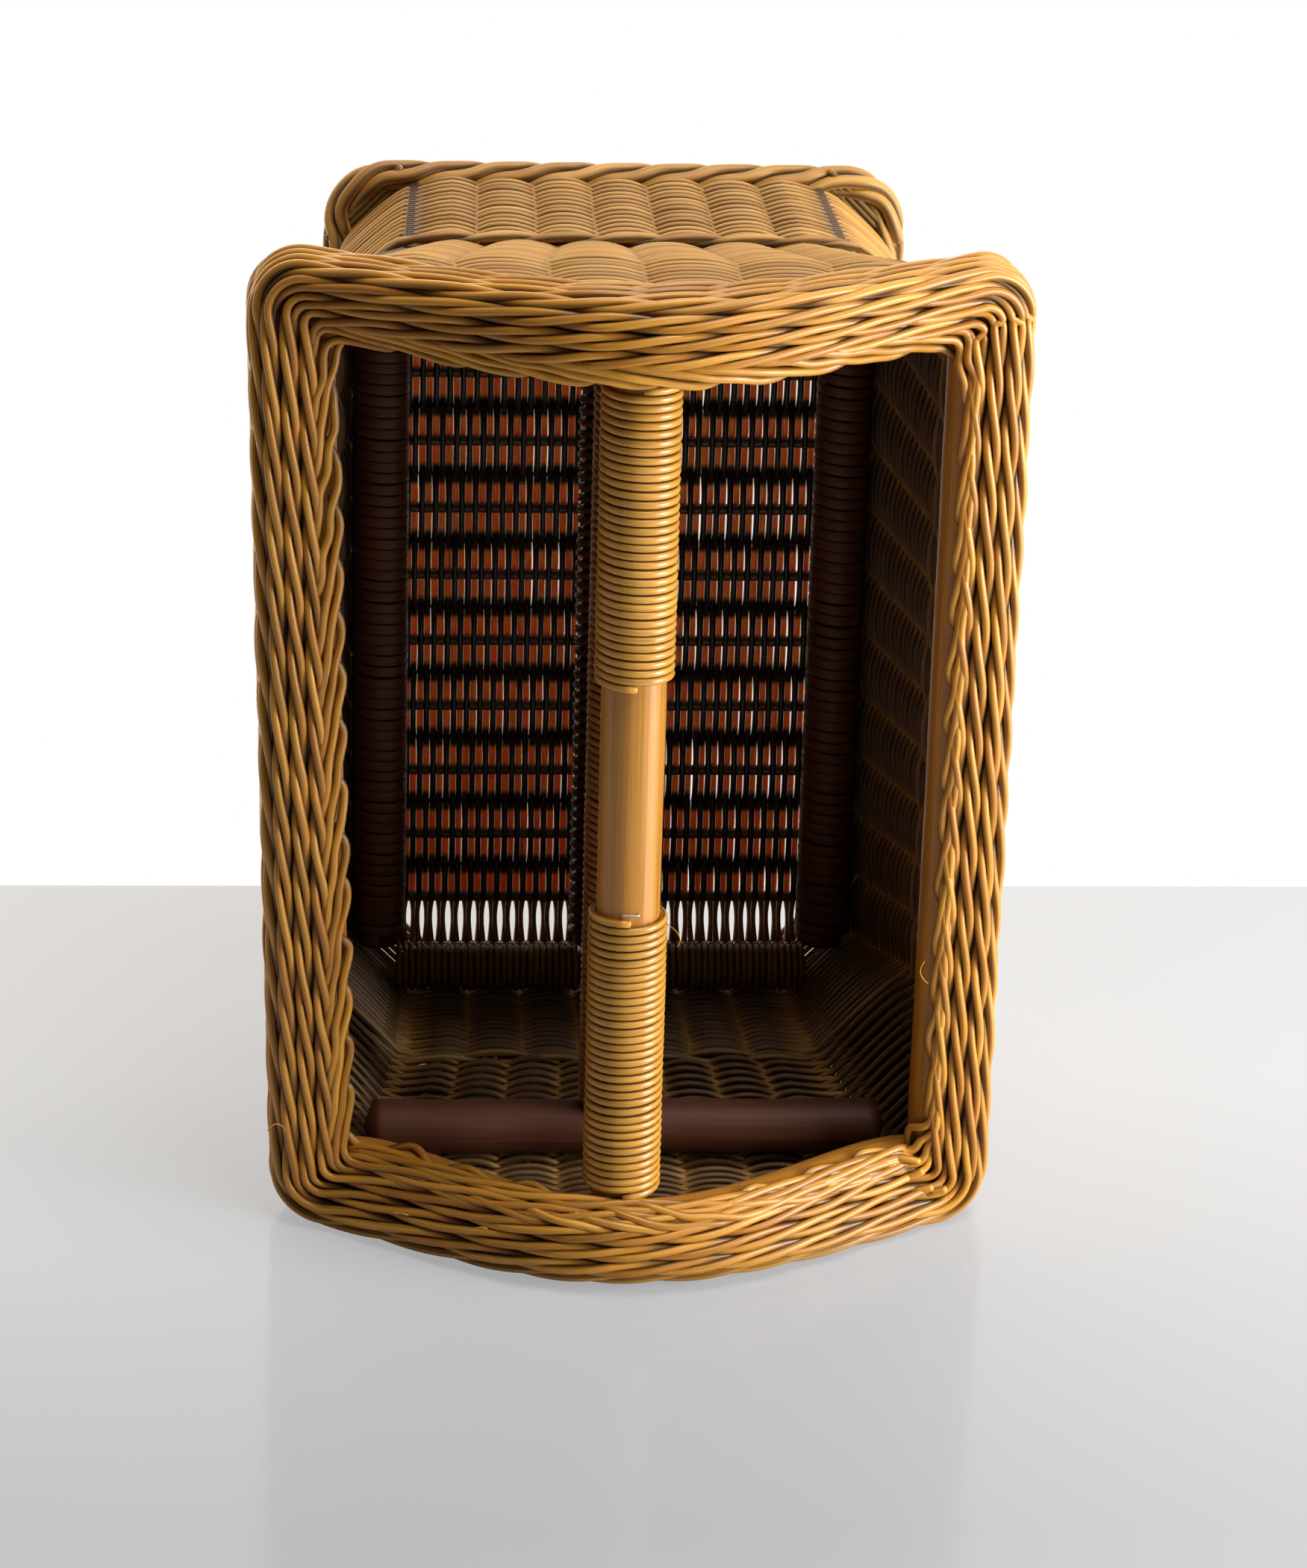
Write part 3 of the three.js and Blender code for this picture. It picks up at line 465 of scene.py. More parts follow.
def edging_strands():
    """The slanted strands at the rim's inner edge: one starts at each repeat, comes out from under the
    next rope, crosses to the edge over three repeats, hooks back there and dives."""
    stretch, share = rim_walk()
    gone = lap_gone(stretch, share, 0.030)
    steps = 44
    local = np.linspace(-0.5, 3.22, steps)
    at = (np.arange(LAP)[:, None] + chance.uniform(-0.12, 0.12, (LAP, 1)) + local) % LAP
    order = np.interp(at, np.append(gone, LAP), np.arange(len(gone) + 1))
    whole = np.floor(order).astype(int) % len(gone)
    where = stretch[whole]
    gone_by = share[whole] + (order - np.floor(order)) / RIM_STEPS[where]

    def eased(places, values):
        """Values at places along a strand, in repeats from its start, with softened bends."""
        line = np.interp(local, places, values)
        return np.convolve(np.pad(line, 1, "edge"), [0.25, 0.5, 0.25], "valid")

    from_edge = eased([-0.5, 0, 1, 2, 2.6, 2.85, 3.0, 3.22],
                      [0.0120, 0.0092, 0.0066, 0.0030, 0.0002, 0.0002, 0.0020, 0.0048])
    depth = eased([-0.5, 0, 0.5, 1, 2.4, 2.8, 3.0, 3.22],
                  [0.0052, 0.0030, 0.0008, 0, 0.0002, 0.0010, 0.0024, 0.0056])
    # On the right side the edging stops short and leaves the side pole bare. At the rear it goes on
    # down the pole's inner face, further on the left half than on the right.
    bare = np.where(where == 0, smooth(gone_by / 0.05) * smooth((1 - gone_by) / 0.05), 0.0)
    bare = bare * np.interp(local, [0, 1.5, 2.5], [0.2, 0.8, 1.0])
    over_pole = np.where(where == 2, smooth(gone_by / 0.08) * smooth((1 - gone_by) / 0.04), 0.0)
    over_pole = over_pole * (0.15 + 0.85 * smooth((gone_by - 0.45) / 0.15))
    drop = over_pole * np.interp(local, [1.2, 2.0, 2.6, 3.0, 3.22], [0, 0.0022, 0.0060, 0.0078, 0.0088])
    inset = BRAID_WIDTH - EDGE_DEPTH - (from_edge + 0.0058 * bare - 0.0008 * over_pole)
    inset = inset + wander(LAP, steps, 0.00035)
    surface = np.interp(BRAID_WIDTH - inset, [0.0, 0.0018, 0.0059, 0.0124], [0.1955, 0.1998, 0.2034, 0.205])
    height = surface - EDGE_DEPTH - (depth + drop) + wander(LAP, steps, 0.00015)
    centres, facing = rim_line(where, gone_by, inset, height, (2e-5, 1e-4))
    thick = EDGE_STRAND * (1 + wander(LAP, steps, 0.04))
    # Painted shade: a strand is darkened where it dives into the braid.
    return tubes(centres, thick, facing, painted_shade=smooth(depth / 0.004) * 0.9)


def rear_pole_ropes():
    """Two ropes of three strands that lie along the rear pole, further round it on the left half."""
    y = np.linspace(0.119, -0.119, 220)
    right = smooth((0.010 - y) / 0.04)
    sunk = 0.004 * smooth((np.abs(y) - 0.107) / 0.012)
    sets = []
    for lying, phase in ((0.37 - 0.09 * right, 0.0), (0.19 - 0.06 * right, 0.5)):
        angle = 2 * np.pi * ((y - 0.118) / 0.078 + (np.arange(3)[:, None] + phase) / 3)
        round_pole = np.pi * lying + 0.20 * np.cos(angle)
        reach = RIM_POLE_RADIUS + 0.0013 + 0.0005 * np.sin(angle) - sunk
        z = 0.1903 + rise(y, RIM_POLE_INSET) + reach * np.cos(round_pole)
        rope = leaned(spots(reach * np.sin(round_pole) - ARCH_X, y, z))
        # Painted shade: a strand is darkened where it turns in towards the pole.
        deep = smooth(-np.sin(angle) / 0.9) * 0.6
        sets.append(tubes(rope, 0.0016, np.array([1.0, 0, 0.8]), painted_shade=deep))
    return sets


def rim_edging():
    """The braid's edging, with the ropes that lie along the rear pole under it."""
    sets = [edging_strands()] + rear_pole_ropes()
    piece("rim_braid_edging", sets, RIM_REED, ["rim_braid"])


def rim_bed():
    """Reed that lies under the ropes, coloured with painted shade: thick strands side by side, carried round
    the rim.
    """
    stretch, share = [walk[None, ::3] for walk in rim_walk()]
    sets = []
    for strand in range(BED_STRANDS):
        middle, normal, _ = on_section(BED_LINE, strand * BED_PITCH)
        centres, facing = rim_line(stretch, share, middle[0], middle[1], normal * 1e-4)
        sets.append(tubes(centres, BED_STRAND, facing, sides=6, closed=True, painted_shade=0.85))
    piece("rim_braid_bed", sets, RIM_REED, ["rim_braid"])


# Walls
def wall_point(seat, height, inset):
    """A point on the wall's eight-sided outline. The seat counts sides from the front end's middle,
    anticlockwise: side k runs from k - 0.5 to k + 0.5, between two of the outline's corners."""
    seat, height, inset = np.broadcast_arrays(seat, height, inset)
    long, wide, flat = [np.interp(height, WALL_LEVELS[:, 0], WALL_LEVELS[:, k]) for k in (1, 2, 3)]
    a = long - inset
    b = wide - inset
    cut = wide - flat - (2 - math.sqrt(2)) * inset
    corner_x = np.stack([a, a, a - cut, cut - a, -a, -a, cut - a, a - cut])
    corner_y = np.stack([cut - b, b - cut, b, b, b - cut, cut - b, -b, -b])
    order = (seat + 0.5) % 8
    first = np.floor(order).astype(int) % 8
    part = order - np.floor(order)
    pick = np.indices(seat.shape)
    here = (first, *pick)
    there = ((first + 1) % 8, *pick)
    x = corner_x[here] * (1 - part) + corner_x[there] * part
    y = corner_y[here] * (1 - part) + corner_y[there] * part
    return leaned(spots(x, y, height))


def wall_line(seat, height, inset, lift=1e-3):
    """Points on the wall, and the way outwards at each: lift is a small step that way."""
    centres = wall_point(seat, height, inset)
    return centres, wall_point(seat, height, inset - lift) - centres


def stake_seats(front, rear, side):
    """Where the stakes stand round the wall: even rows on the ends and sides, one on each chamfer."""
    def row(count, centre, span):
        return centre + span * (np.arange(count) - (count - 1) / 2) / count

    off_chamfer = 0.32
    parts = [row(front, 0, 0.95), [1.5 - off_chamfer], row(side, 2, 1.0), [2.5 + off_chamfer],
             row(rear, 4, 0.95), [5.5 - off_chamfer], row(side, 6, 1.0), [6.5 + off_chamfer]]
    return np.sort(np.mod(np.concatenate(parts) + 0.5, 8)) - 0.5


def ring_of(seats, between):
    """Seats and stake counts at even steps round the wall, with the steps shared out by bay. In a wide bay
    at a corner the strands change sides beside its regular stake, then run straight to the corner's."""
    ends = np.append(seats, seats[0] + 8)
    span = np.diff(ends)
    probe = np.linspace(0, 1, between + 1)[:-1]
    fine = (ends[:-1, None] + span[:, None] * probe).ravel()
    beside = 0.55 * np.median(span) / span
    corner = np.abs(np.mod(ends, 2) - 1) < 0.45
    crossing = np.full(len(seats), 0.5)
    crossing = np.where(corner[1:] & ~corner[:-1], np.minimum(0.5, beside), crossing)
    crossing = np.where(corner[:-1] & ~corner[1:], np.maximum(0.5, 1 - beside), crossing)[:, None]
    parted = np.where(probe < crossing, 0.5 * probe / crossing, 1 - 0.5 * (1 - probe) / (1 - crossing))
    count = (np.arange(len(seats))[:, None] + parted).ravel()
    return fine, count


LOWER_SEATS = stake_seats(7, 7, 11)
UPPER_SEATS = stake_seats(6, 8, 11)
PANELS = ("front", "front_left", "left", "rear_left", "rear", "rear_right", "right", "front_right")
ROW_PITCH = 0.00262
ROWS = 32
LOWER_START = 0.0152
UPPER_START = 0.1006
LOWER_STRAND = 0.00142
UPPER_STRAND = 0.00147
WEAVE_REACH = 0.0029
STAKE_RADIUS = 0.0016

# The arches' own rows: the last row, the height that they are measured from, and how far a row may reach
ARCH_ROWS_END = 52
ARCH_FOOT = 0.180
ARCH_LONGEST = 0.108
ARCH_SHORTEST = 0.012
ARCH_REACH = 0.0028
ARCH_STRAND = 0.00144


def swung(count, row, reach):
    """In and out of the wall's middle: a cosine that turns over at each stake, held flatter at its crest."""
    wave = np.cos(np.pi * (count + row))
    return reach * wave * (1.25 - 0.25 * wave * wave)


def sunk_painted_shade(swing, reach):
    """Painted shade on a strand of the weave: the further in it runs, the more it is darkened."""
    return smooth((0.45 - swing / reach) / 1.3) * 0.8


def weave_rings(seats, heights, radius):
    """Plain weave: one closed strand per row, in and out of the stakes, odd rows the other way round."""
    fine, count = ring_of(seats, 10)
    rows, steps = len(heights), len(fine)
    swing = swung(count, np.arange(rows)[:, None], WEAVE_REACH)
    swing = swing * (1 + wander(rows, steps, 0.05, closed=True))
    height = heights[:, None] + wander(rows, steps, 0.00022, closed=True)
    centres, facing = wall_line(fine, height, WALL_MIDDLE - swing)
    thick = radius * (1 + wander(rows, steps, 0.05, closed=True))
    return tubes(softened(centres), thick, facing, sides=7, closed=True, painted_shade=sunk_painted_shade(swing, WEAVE_REACH))


def stakes(seats, bottom, top, steps):
    """Upright stakes in the middle of the wall, from bottom to top at each seat, coloured with painted shade.
    """
    tops = np.broadcast_to(top, (len(seats),))[:, None]
    height = bottom + (tops - bottom) * np.linspace(0, 1, steps)
    centres, facing = wall_line(seats[:, None], height, WALL_MIDDLE)
    return tubes(centres, STAKE_RADIUS, facing, sides=6, painted_shade=0.7)


def lining(heights):
    """Straight rows in the wall's middle, coloured with painted shade: one closed ring per height at even
    seats, set further in beside the corner bays."""
    seat = np.arange(80) / 10
    beside_corner = np.abs(np.abs(np.mod(seat, 2) - 1) - 0.34)
    inset = WALL_MIDDLE + 0.0018 * smooth(1.7 - beside_corner / 0.09)
    centres = wall_point(seat, heights[:, None], inset)
    facing = wall_point(seat, heights[:, None], WALL_MIDDLE - 1e-3) - centres
    return tubes(centres, 0.0008, facing, sides=6, closed=True, flatness=2.1, painted_shade=0.9)


def lower_wall():
    """Thirty-two rows of plain weave from the foot border to the mid band."""
    heights = LOWER_START + ROW_PITCH * np.arange(ROWS)
    sets = [weave_rings(LOWER_SEATS, heights, LOWER_STRAND), stakes(LOWER_SEATS, 0.006, 0.099, 10),
            lining(LOWER_START + ROW_PITCH * (np.arange(-1, ROWS) + 0.5))]
    piece("lower_wall_weave", sets, WALL_REED, ["lower_wall_" + panel for panel in PANELS])


def upper_wall():
    """Plain weave from the mid band to the shoulder under the braid, with higher stakes at the ends."""
    heights = UPPER_START + ROW_PITCH * np.arange(ROWS)
    at_end = np.abs(np.mod(UPPER_SEATS + 2, 4) - 2) < 0.5
    y = wall_point(UPPER_SEATS, 0.18, WALL_MIDDLE)[:, 1]
    top = np.where(at_end, 0.190 + 0.8 * rise(y, 0.02), 0.186)
    sets = [weave_rings(UPPER_SEATS, heights, UPPER_STRAND), stakes(UPPER_SEATS, 0.096, top, 14),
            lining(heights + ROW_PITCH / 2)]
    piece("upper_wall_weave", sets, WALL_REED, ["upper_wall_" + panel for panel in PANELS])


def arch_weave():
    """Rows that fill the ends under the arched braid: each runs as far as the arch is higher than it. Painted
    shade darkens them where they run further in, and colours the plain rows between them that close the wall."""
    row = np.arange(ROWS, ARCH_ROWS_END)
    heights = UPPER_START + ROW_PITCH * row
    climbed = ((heights - ARCH_FOOT) / ARCH_RISE).clip(0, 1)
    reach_y = np.minimum(RIM_WIDTH / 2 * np.sqrt(1 - climbed ** (1 / ARCH_POWER)), ARCH_LONGEST)
    keep = reach_y > ARCH_SHORTEST
    row, heights, reach_y = row[keep, None], heights[keep, None], reach_y[keep, None]
    steps = 90
    sets = []
    for end, middle in ((1.0, 0), (-1.0, 4)):
        seats = UPPER_SEATS[np.abs(UPPER_SEATS - middle) < 0.6]
        y = np.linspace(-1, 1, steps) * reach_y
        seat = y * end / (2 * WALL_LEVELS[-1, 3]) + middle
        # The stake count goes on at the same rate beyond the end's first and last stake.
        count = np.interp(seat, seats, np.arange(len(seats)))
        slope = (len(seats) - 1) / (seats[-1] - seats[0])
        count = np.where(seat < seats[0], (seat - seats[0]) * slope, count)
        count = np.where(seat > seats[-1], len(seats) - 1 + (seat - seats[-1]) * slope, count)
        swing = swung(count + np.searchsorted(UPPER_SEATS, seats[0]), row, ARCH_REACH)
        height = heights + wander(len(heights), steps, 0.0002)
        centres, facing = wall_line(seat, height, WALL_MIDDLE - swing)
        sets.append(tubes(centres, ARCH_STRAND, facing, sides=8, painted_shade=sunk_painted_shade(swing, ARCH_REACH)))
        plain = wall_point(seat, heights + ROW_PITCH / 2, WALL_MIDDLE + 0.0002)[:, ::9]
        sets.append(tubes(plain, 0.0009, np.array([end, 0, 0]), sides=6, flatness=2.0, painted_shade=0.9))
    piece("arch_weave", sets, WALL_REED, ["upper_wall_front", "upper_wall_rear"])


def mid_band():
    """Two twined strands round the outside: each shows as a lens at every second stake."""
    fine, count = ring_of(LOWER_SEATS, 12)
    angle = np.pi * (count + np.arange(2)[:, None])
    wave = np.cos(angle)
    z = MID_HEIGHT + 0.0016 * np.sin(angle) + wander(2, len(fine), 0.0002, closed=True)
    centres, facing = wall_line(fine, z, 0.0004 - 0.0013 * wave * (1.3 - 0.3 * wave ** 2))
    # Painted shade: a strand is darkened where it runs in behind the other.
    deep = smooth((0.35 - wave) / 0.9) * 0.85
    sets = [tubes(softened(centres), 0.00165 + 0.0005 * wave, facing, sides=10, closed=True, painted_shade=deep)]
    # Two rows behind the twine, coloured with painted shade, close the wall between its lower and upper weave.
    swing = swung(count, np.array([[0], [1]]), 0.0014)
    backing = MID_HEIGHT + np.array([[-0.0022], [0.0022]])
    centres, facing = wall_line(fine, backing, WALL_MIDDLE + 0.0016 - swing, 0.0016)
    sets.append(tubes(centres, 0.0016, facing, sides=6, closed=True, painted_shade=0.5))
    piece("mid_band_twine", sets, WALL_REED, ["mid_band"])


# Foot border
FOOT_PLACES = 50
FOOT_STEPS = 14
FOOT_STRANDS = 5


def foot_point(gone, inset, height):
    """A point on a rounded rectangle at that inset, by the share gone of the way round, anticlockwise from
    the front end's right corner: straight stretches between corner centres, quarter circles round them."""
    far = FOOT_LENGTH / 2 - FOOT_CORNER_RADIUS
    wide = FOOT_WIDTH / 2 - FOOT_CORNER_RADIUS
    quarter = np.pi / 2 * (FOOT_CORNER_RADIUS - FOOT_BORDER_WIDTH / 2)
    lengths = np.array([2 * wide, quarter, 2 * far, quarter] * 2)
    before = np.concatenate([[0], np.cumsum(lengths)])
    travelled = gone * lengths.sum()
    stretch = np.clip(np.searchsorted(before, travelled, side="right") - 1, 0, 7)
    share = (travelled - before[stretch]) / lengths[stretch]
    bend = FOOT_CORNER_RADIUS - inset
    swing = np.pi / 2 * share
    here = [stretch % 4 == k for k in range(4)]
    x = np.select(here, [far + bend, far + bend * np.cos(swing),
                         far * (1 - 2 * share), -far - bend * np.sin(swing)])
    y = np.select(here, [-wide * (1 - 2 * share), wide + bend * np.sin(swing),
                         wide + bend, wide + bend * np.cos(swing)])
    half = np.where(stretch >= 4, -1.0, 1.0)
    return spots(x * half, y * half, height)


def foot_border():
    """Five strands laid round the foot's border: each goes once round its section in five places, slower at
    a place than between two, darkened with painted shade where it turns in under the others. A core
    coloured with painted shade keeps light from showing between the strands."""
    gone = np.arange(FOOT_PLACES * FOOT_STEPS) / FOOT_STEPS
    turn = gone + np.arange(FOOT_STRANDS)[:, None]
    angle = 2 * np.pi * (turn - 0.11 * np.sin(2 * np.pi * turn)) / FOOT_STRANDS
    inset = FOOT_BORDER_WIDTH / 2 - 0.0045 * np.cos(angle)
    height = np.clip(0.0070 + 0.0052 * np.sin(angle), 0.0020, 0.0120)
    centres = foot_point(gone / FOOT_PLACES, inset, height)
    out = (centres - (0, 0, 0.007)) * (0.07, 0.1, 1)
    shown = np.cos(angle - 0.35 * np.pi)
    deep = smooth(-shown / 0.8) * 0.7
    core = foot_point(gone[::4] / FOOT_PLACES, np.array([[0.0044], [0.0084]]), 0.0072)
    sets = [tubes(centres, 0.0022 + 0.0005 * shown, out, sides=10, closed=True, painted_shade=deep),
            tubes(core, 0.0031, UP, sides=6, closed=True, painted_shade=0.9)]
    piece("foot_border_strands", sets, WALL_REED, ["foot_border"])


# Poles and windings
def pole(start, end, steps=60, sway=0.0003):
    """The middle line of a straight pole from start to end, which wanders a little up and down."""
    share = np.linspace(0, 1, steps)[:, None]
    line = np.asarray(start) * (1 - share) + np.asarray(end) * share
    line[:, 2] += wander(1, steps, sway)[0]
    return line[None]


def pole_part(centres, radius, sides=28, tone=None):
    """A pole's skin, just inside its solid's radius, with slow swellings at its old leaf rings."""
    skin = radius - SKIN_GAP
    thick = skin * (1 + wander(1, centres.shape[1], 0.008, waves=7))
    return tubes(centres, np.minimum(thick, skin * 1.012), UP, sides=sides, tone=tone)


def arched_pole(x):
    """The end pole under the braid: it rises with the arch, its top at WALL_TOP plus the rise."""
    y = np.linspace(-0.1320, 0.1320, 120)
    lifted = rise(y, RIM_POLE_INSET + RIM_POLE_RADIUS)
    slope = np.gradient(lifted, y)
    down = RIM_POLE_RADIUS / np.hypot(1, slope)
    return leaned(spots(x, y + slope * down, WALL_TOP + lifted - down))[None]


def winding(ends, axis, core, cane, turns, width, steps_per_turn=22, sides=8, square=1.0, lean=0.0):
    """One unbroken strand wound round a pole, between two places along it. Its middle runs on a helix of
    radius core + cane about the axis (y, z), and moves one width along the pole in each turn, a little
    unevenly. Lean is how far a turn slants along the pole."""
    steps = turns * steps_per_turn
    turn = np.linspace(0, turns, steps)
    step = 1 + chance.normal(0, 0.05, turns + 2)
    gone = np.concatenate([[0], np.cumsum(step)])
    along = np.interp(turn, np.arange(len(gone)), gone)
    along = ends[0] + (ends[1] - ends[0]) * along / along[-1]
    angle = 2 * np.pi * turn
    reach = core + cane * (1 + wander(1, steps, 0.03, waves=6)[0])
    out = spots(0, reach * np.sin(angle), reach * np.cos(angle))
    points = out + spots(along + lean * np.cos(angle), *axis)
    return tubes(points[None], cane, out[None], sides=sides, flatness=width / (2 * cane), square=square,
                 tone=chance.uniform(0.3, 0.7))


def handle():
    """The carrying pole, bare in the middle, and its two windings of cane."""
    y, z = MIDDLE_OFFSET, HANDLE_HEIGHT
    line = pole((-UPPER_POLE_REACH, y, z), (UPPER_POLE_REACH, y, z), steps=150, sway=0.00015)
    bare = pole_part(line, HANDLE_RADIUS, sides=40, tone=0.45)
    piece("handle_pole_skin", [bare], BARE_POLE, ["handle_pole"])
    for name, way in (("front", 1), ("rear", -1)):
        wound = winding((way * 0.0461, way * 0.1585), (y, z), HANDLE_RADIUS, 0.00142, 35, 0.0031, sides=9)
        piece("handle_winding_" + name, [wound], HANDLE_CANE, ["handle_wrap_" + name])


def rail():
    """The lower rail that parts the basket, wound all along."""
    y, z = MIDDLE_OFFSET, RAIL_HEIGHT
    bare = pole_part(pole((-0.1566, y, z), (0.1566, y, z)), RAIL_RADIUS, sides=20)
    piece("divider_rail_pole", [bare], DARK_POLE, ["divider_rail"])
    wound = winding((-0.1550, 0.1550), (y, z), RAIL_RADIUS, 0.00138, 97, 0.0030, steps_per_turn=20, sides=7)
    piece("divider_rail_winding", [wound], RAIL_CANE, ["divider_rail_wrap"])


def rim_poles():
    """Four poles of the rim and the two cross poles."""
    sets = [pole_part(arched_pole(x), RIM_POLE_RADIUS) for x in (ARCH_X, -ARCH_X)]
    piece("rim_pole_arches", sets, BARE_POLE, ["rim_pole_front", "rim_pole_rear"])
    far, z = UPPER_POLE_REACH, WALL_TOP - RIM_POLE_RADIUS
    lines = [leaned(pole((-far, y, z), (far, y, z))) for y in (-SIDE_POLE_Y, SIDE_POLE_Y)]
    # Painted shade: the side poles take the reed's deepest tone, as they lie in the shade under the braid.
    sets = [pole_part(line, RIM_POLE_RADIUS, tone=0.0) for line in lines]
    piece("rim_pole_sides", sets, BARE_POLE, ["rim_pole_left", "rim_pole_right"])
    lines = [pole((x, -0.1028, RAIL_HEIGHT), (x, left, RAIL_HEIGHT))
             for x, left in ((CROSS_POLE_X, 0.1028), (-CROSS_POLE_X, 0.0973))]
    sets = [pole_part(line, CROSS_POLE_RADIUS) for line in lines]
    piece("cross_poles", sets, DARK_POLE, ["cross_pole_front", "cross_pole_rear"])


# Floor
STAKE_X = -0.0033 + 0.0289 * (np.arange(10) - 4.5)
STAKE_Z = 0.011
STRAND_PITCH = 0.00269
FLOOR_SWING = 0.0031


def floor_weave():
    """The floor's strands: each runs lengthwise over and under the ten stakes, then up over the end poles."""
    for name, inner, outer, count in (("left", 0.0107, 0.0857, 28), ("right", -0.0062, -0.0857, 30)):
        y = (np.linspace(inner, outer, count) + chance.normal(0, 0.00009, count))[:, None]
        x = np.linspace(STAKE_X[0], STAKE_X[-1], 9 * 12 + 1)
        step = np.interp(x, STAKE_X, np.arange(10))
        wave = np.cos(np.pi * (step + np.arange(count)[:, None]))
        body = spots(x, y, STAKE_Z + FLOOR_SWING * np.tanh(2.0 * wave) / np.tanh(2.0))
        # Each arc starts on its pole's inner side, goes over its top and down its outer side.
        arc = np.linspace(-0.25 * np.pi, 1.45 * np.pi, 26)
        reach = END_POLE_RADIUS + 0.00135
        arc_x = END_POLE_X - reach * np.cos(arc)
        arc_z = FLOOR_POLE_HEIGHT + reach * np.sin(arc)
        rear, front = [spots(side * arc_x, y, arc_z) for side in (-1, 1)]
        paired = np.where(np.arange(count) % 2 == 0, 1.0, -1.0)[:, None]

        def bridge(first, last):
            """Eight points between the last stake and the pole, drawn together in pairs half way."""
            share = np.linspace(0, 1, 10)[1:-1]
            line = first[:, None] * (1 - share[:, None]) + last[:, None] * share[:, None]
            line[..., 1] += paired * 0.00080 * np.sin(np.pi * share ** 0.7)
            return line

        rear_bridge = bridge(body[:, 0], rear[:, 0])[:, ::-1]
        front_bridge = bridge(body[:, -1], front[:, 0])
        rough = np.concatenate([rear[:, ::-1], rear_bridge, body, front_bridge, front], 1)
        centres = rough.copy()
        centres[:, 1:-1] = (rough[:, :-2] + 2 * rough[:, 1:-1] + rough[:, 2:]) / 4
        centres[..., 1] += wander(count, centres.shape[1], 0.00008)
        # Painted shade darkens a strand where it lies over a stake and between stakes, and all along from the
        # last stake over the end pole; where it runs under a stake it shows the floor reed's bright colour,
        # painted light of the glow from behind. It is thinner between the last stake and the end pole, where
        # light comes through.
        low = np.clip((STAKE_Z - centres[..., 2]) / FLOOR_SWING, -1, 1)
        off_middle = np.abs(centres[..., 0] - STAKE_X.mean())
        bay = np.abs(off_middle - 0.1385) / 0.0085
        thick = (0.00160 + 0.00025 * low) * (1 - 0.24 * np.clip(1.2 - bay, 0, 1))
        thick = thick * (1 + wander(count, centres.shape[1], 0.035))
        deep = np.where(off_middle < 0.1305, smooth((0.72 - low) / 0.25), 0.8)
        sets = [tubes(centres, thick, np.array([0, 0.02, 1.0]), sides=8, painted_shade=deep)]
        nodes = ["base_weave_" + name]
        if name == "left":
            nodes += ["base_end_pole_front_wrap", "base_end_pole_rear_wrap"]
        piece("base_weave_strands_" + name, sets, FLOOR_REED_PAINTED_BACKLIGHT, nodes)


def floor_edges():
    """Flat rows under the stakes that close the floor out to the walls, and short rows that fill each cut
    corner between the wall's foot and the round of the border, all coloured with painted shade."""
    row = np.arange(6)[:, None]
    seat = np.linspace(-0.5, 7.5, 321)[:-1]
    rows = wall_point(seat, FOOT_HEIGHT, 0.0105 + STRAND_PITCH * row)
    rows[..., 2] = 0.0074 + wander(6, 320, 0.0001, closed=True)
    sets = [tubes(rows, 0.0013, UP, sides=7, closed=True, painted_shade=0.7)]
    for corner in (1, 3, 5, 7):
        rows = wall_point(corner + np.linspace(-0.47, 0.47, 20), FOOT_HEIGHT, -0.0030 + 0.0022 * row)
        rows[..., 2] = 0.0112 - 0.0005 * row
        sets.append(tubes(rows, 0.0014, UP, sides=7, painted_shade=0.8))
    piece("floor_edge_rows", sets, FLOOR_REED_PAINTED_BACKLIGHT, ["base_weave_left", "base_weave_right"])


def base_stakes():
    """The ten stakes across the floor, which its strands run over and under, coloured with painted shade."""
    lines = spots(STAKE_X[:, None], np.linspace(-0.1045, 0.1045, 24), STAKE_Z)
    sets = [tubes(lines, 0.0024, UP, sides=8, painted_shade=0.9)]
    piece("base_stakes", sets, FLOOR_REED_PAINTED_BACKLIGHT, [f"base_stake_{k:02d}" for k in range(1, 11)])


def floor_poles():
    """The floor's poles and the cane wound on them: flat cane on the side poles, round on the middle one."""
    z = FLOOR_POLE_HEIGHT
    for name, y in (("side_pole_left", FLOOR_SIDE_Y), ("side_pole_right", -FLOOR_SIDE_Y),
                    ("middle_pole", MIDDLE_OFFSET)):
        bare = pole_part(pole((-0.1482, y, z), (0.1482, y, z)), FLOOR_POLE_RADIUS, sides=18)
        piece(f"base_{name}_bare", [bare], DARK_POLE, ["base_" + name])
        ends, axis = (-0.1440, 0.1440), (y, z)
        if name == "middle_pole":
            wound = winding(ends, axis, 0.0093, 0.0010, 60, 0.0032, steps_per_turn=18, sides=7, lean=0.003)
        else:
            wound = winding(ends, axis, 0.0106, 0.0005, 62, 0.0045, steps_per_turn=18, sides=10, square=0.5)
        piece(f"base_{name}_winding", [wound], POLE_CANE, [f"base_{name}_wrap"])
    for name, x in (("front", END_POLE_X), ("rear", -END_POLE_X)):
        bare = pole_part(pole((x, -0.0835, z), (x, 0.0835, z)), END_POLE_RADIUS, sides=18)
        piece(f"base_end_pole_{name}_bare", [bare], DARK_POLE, ["base_end_pole_" + name])


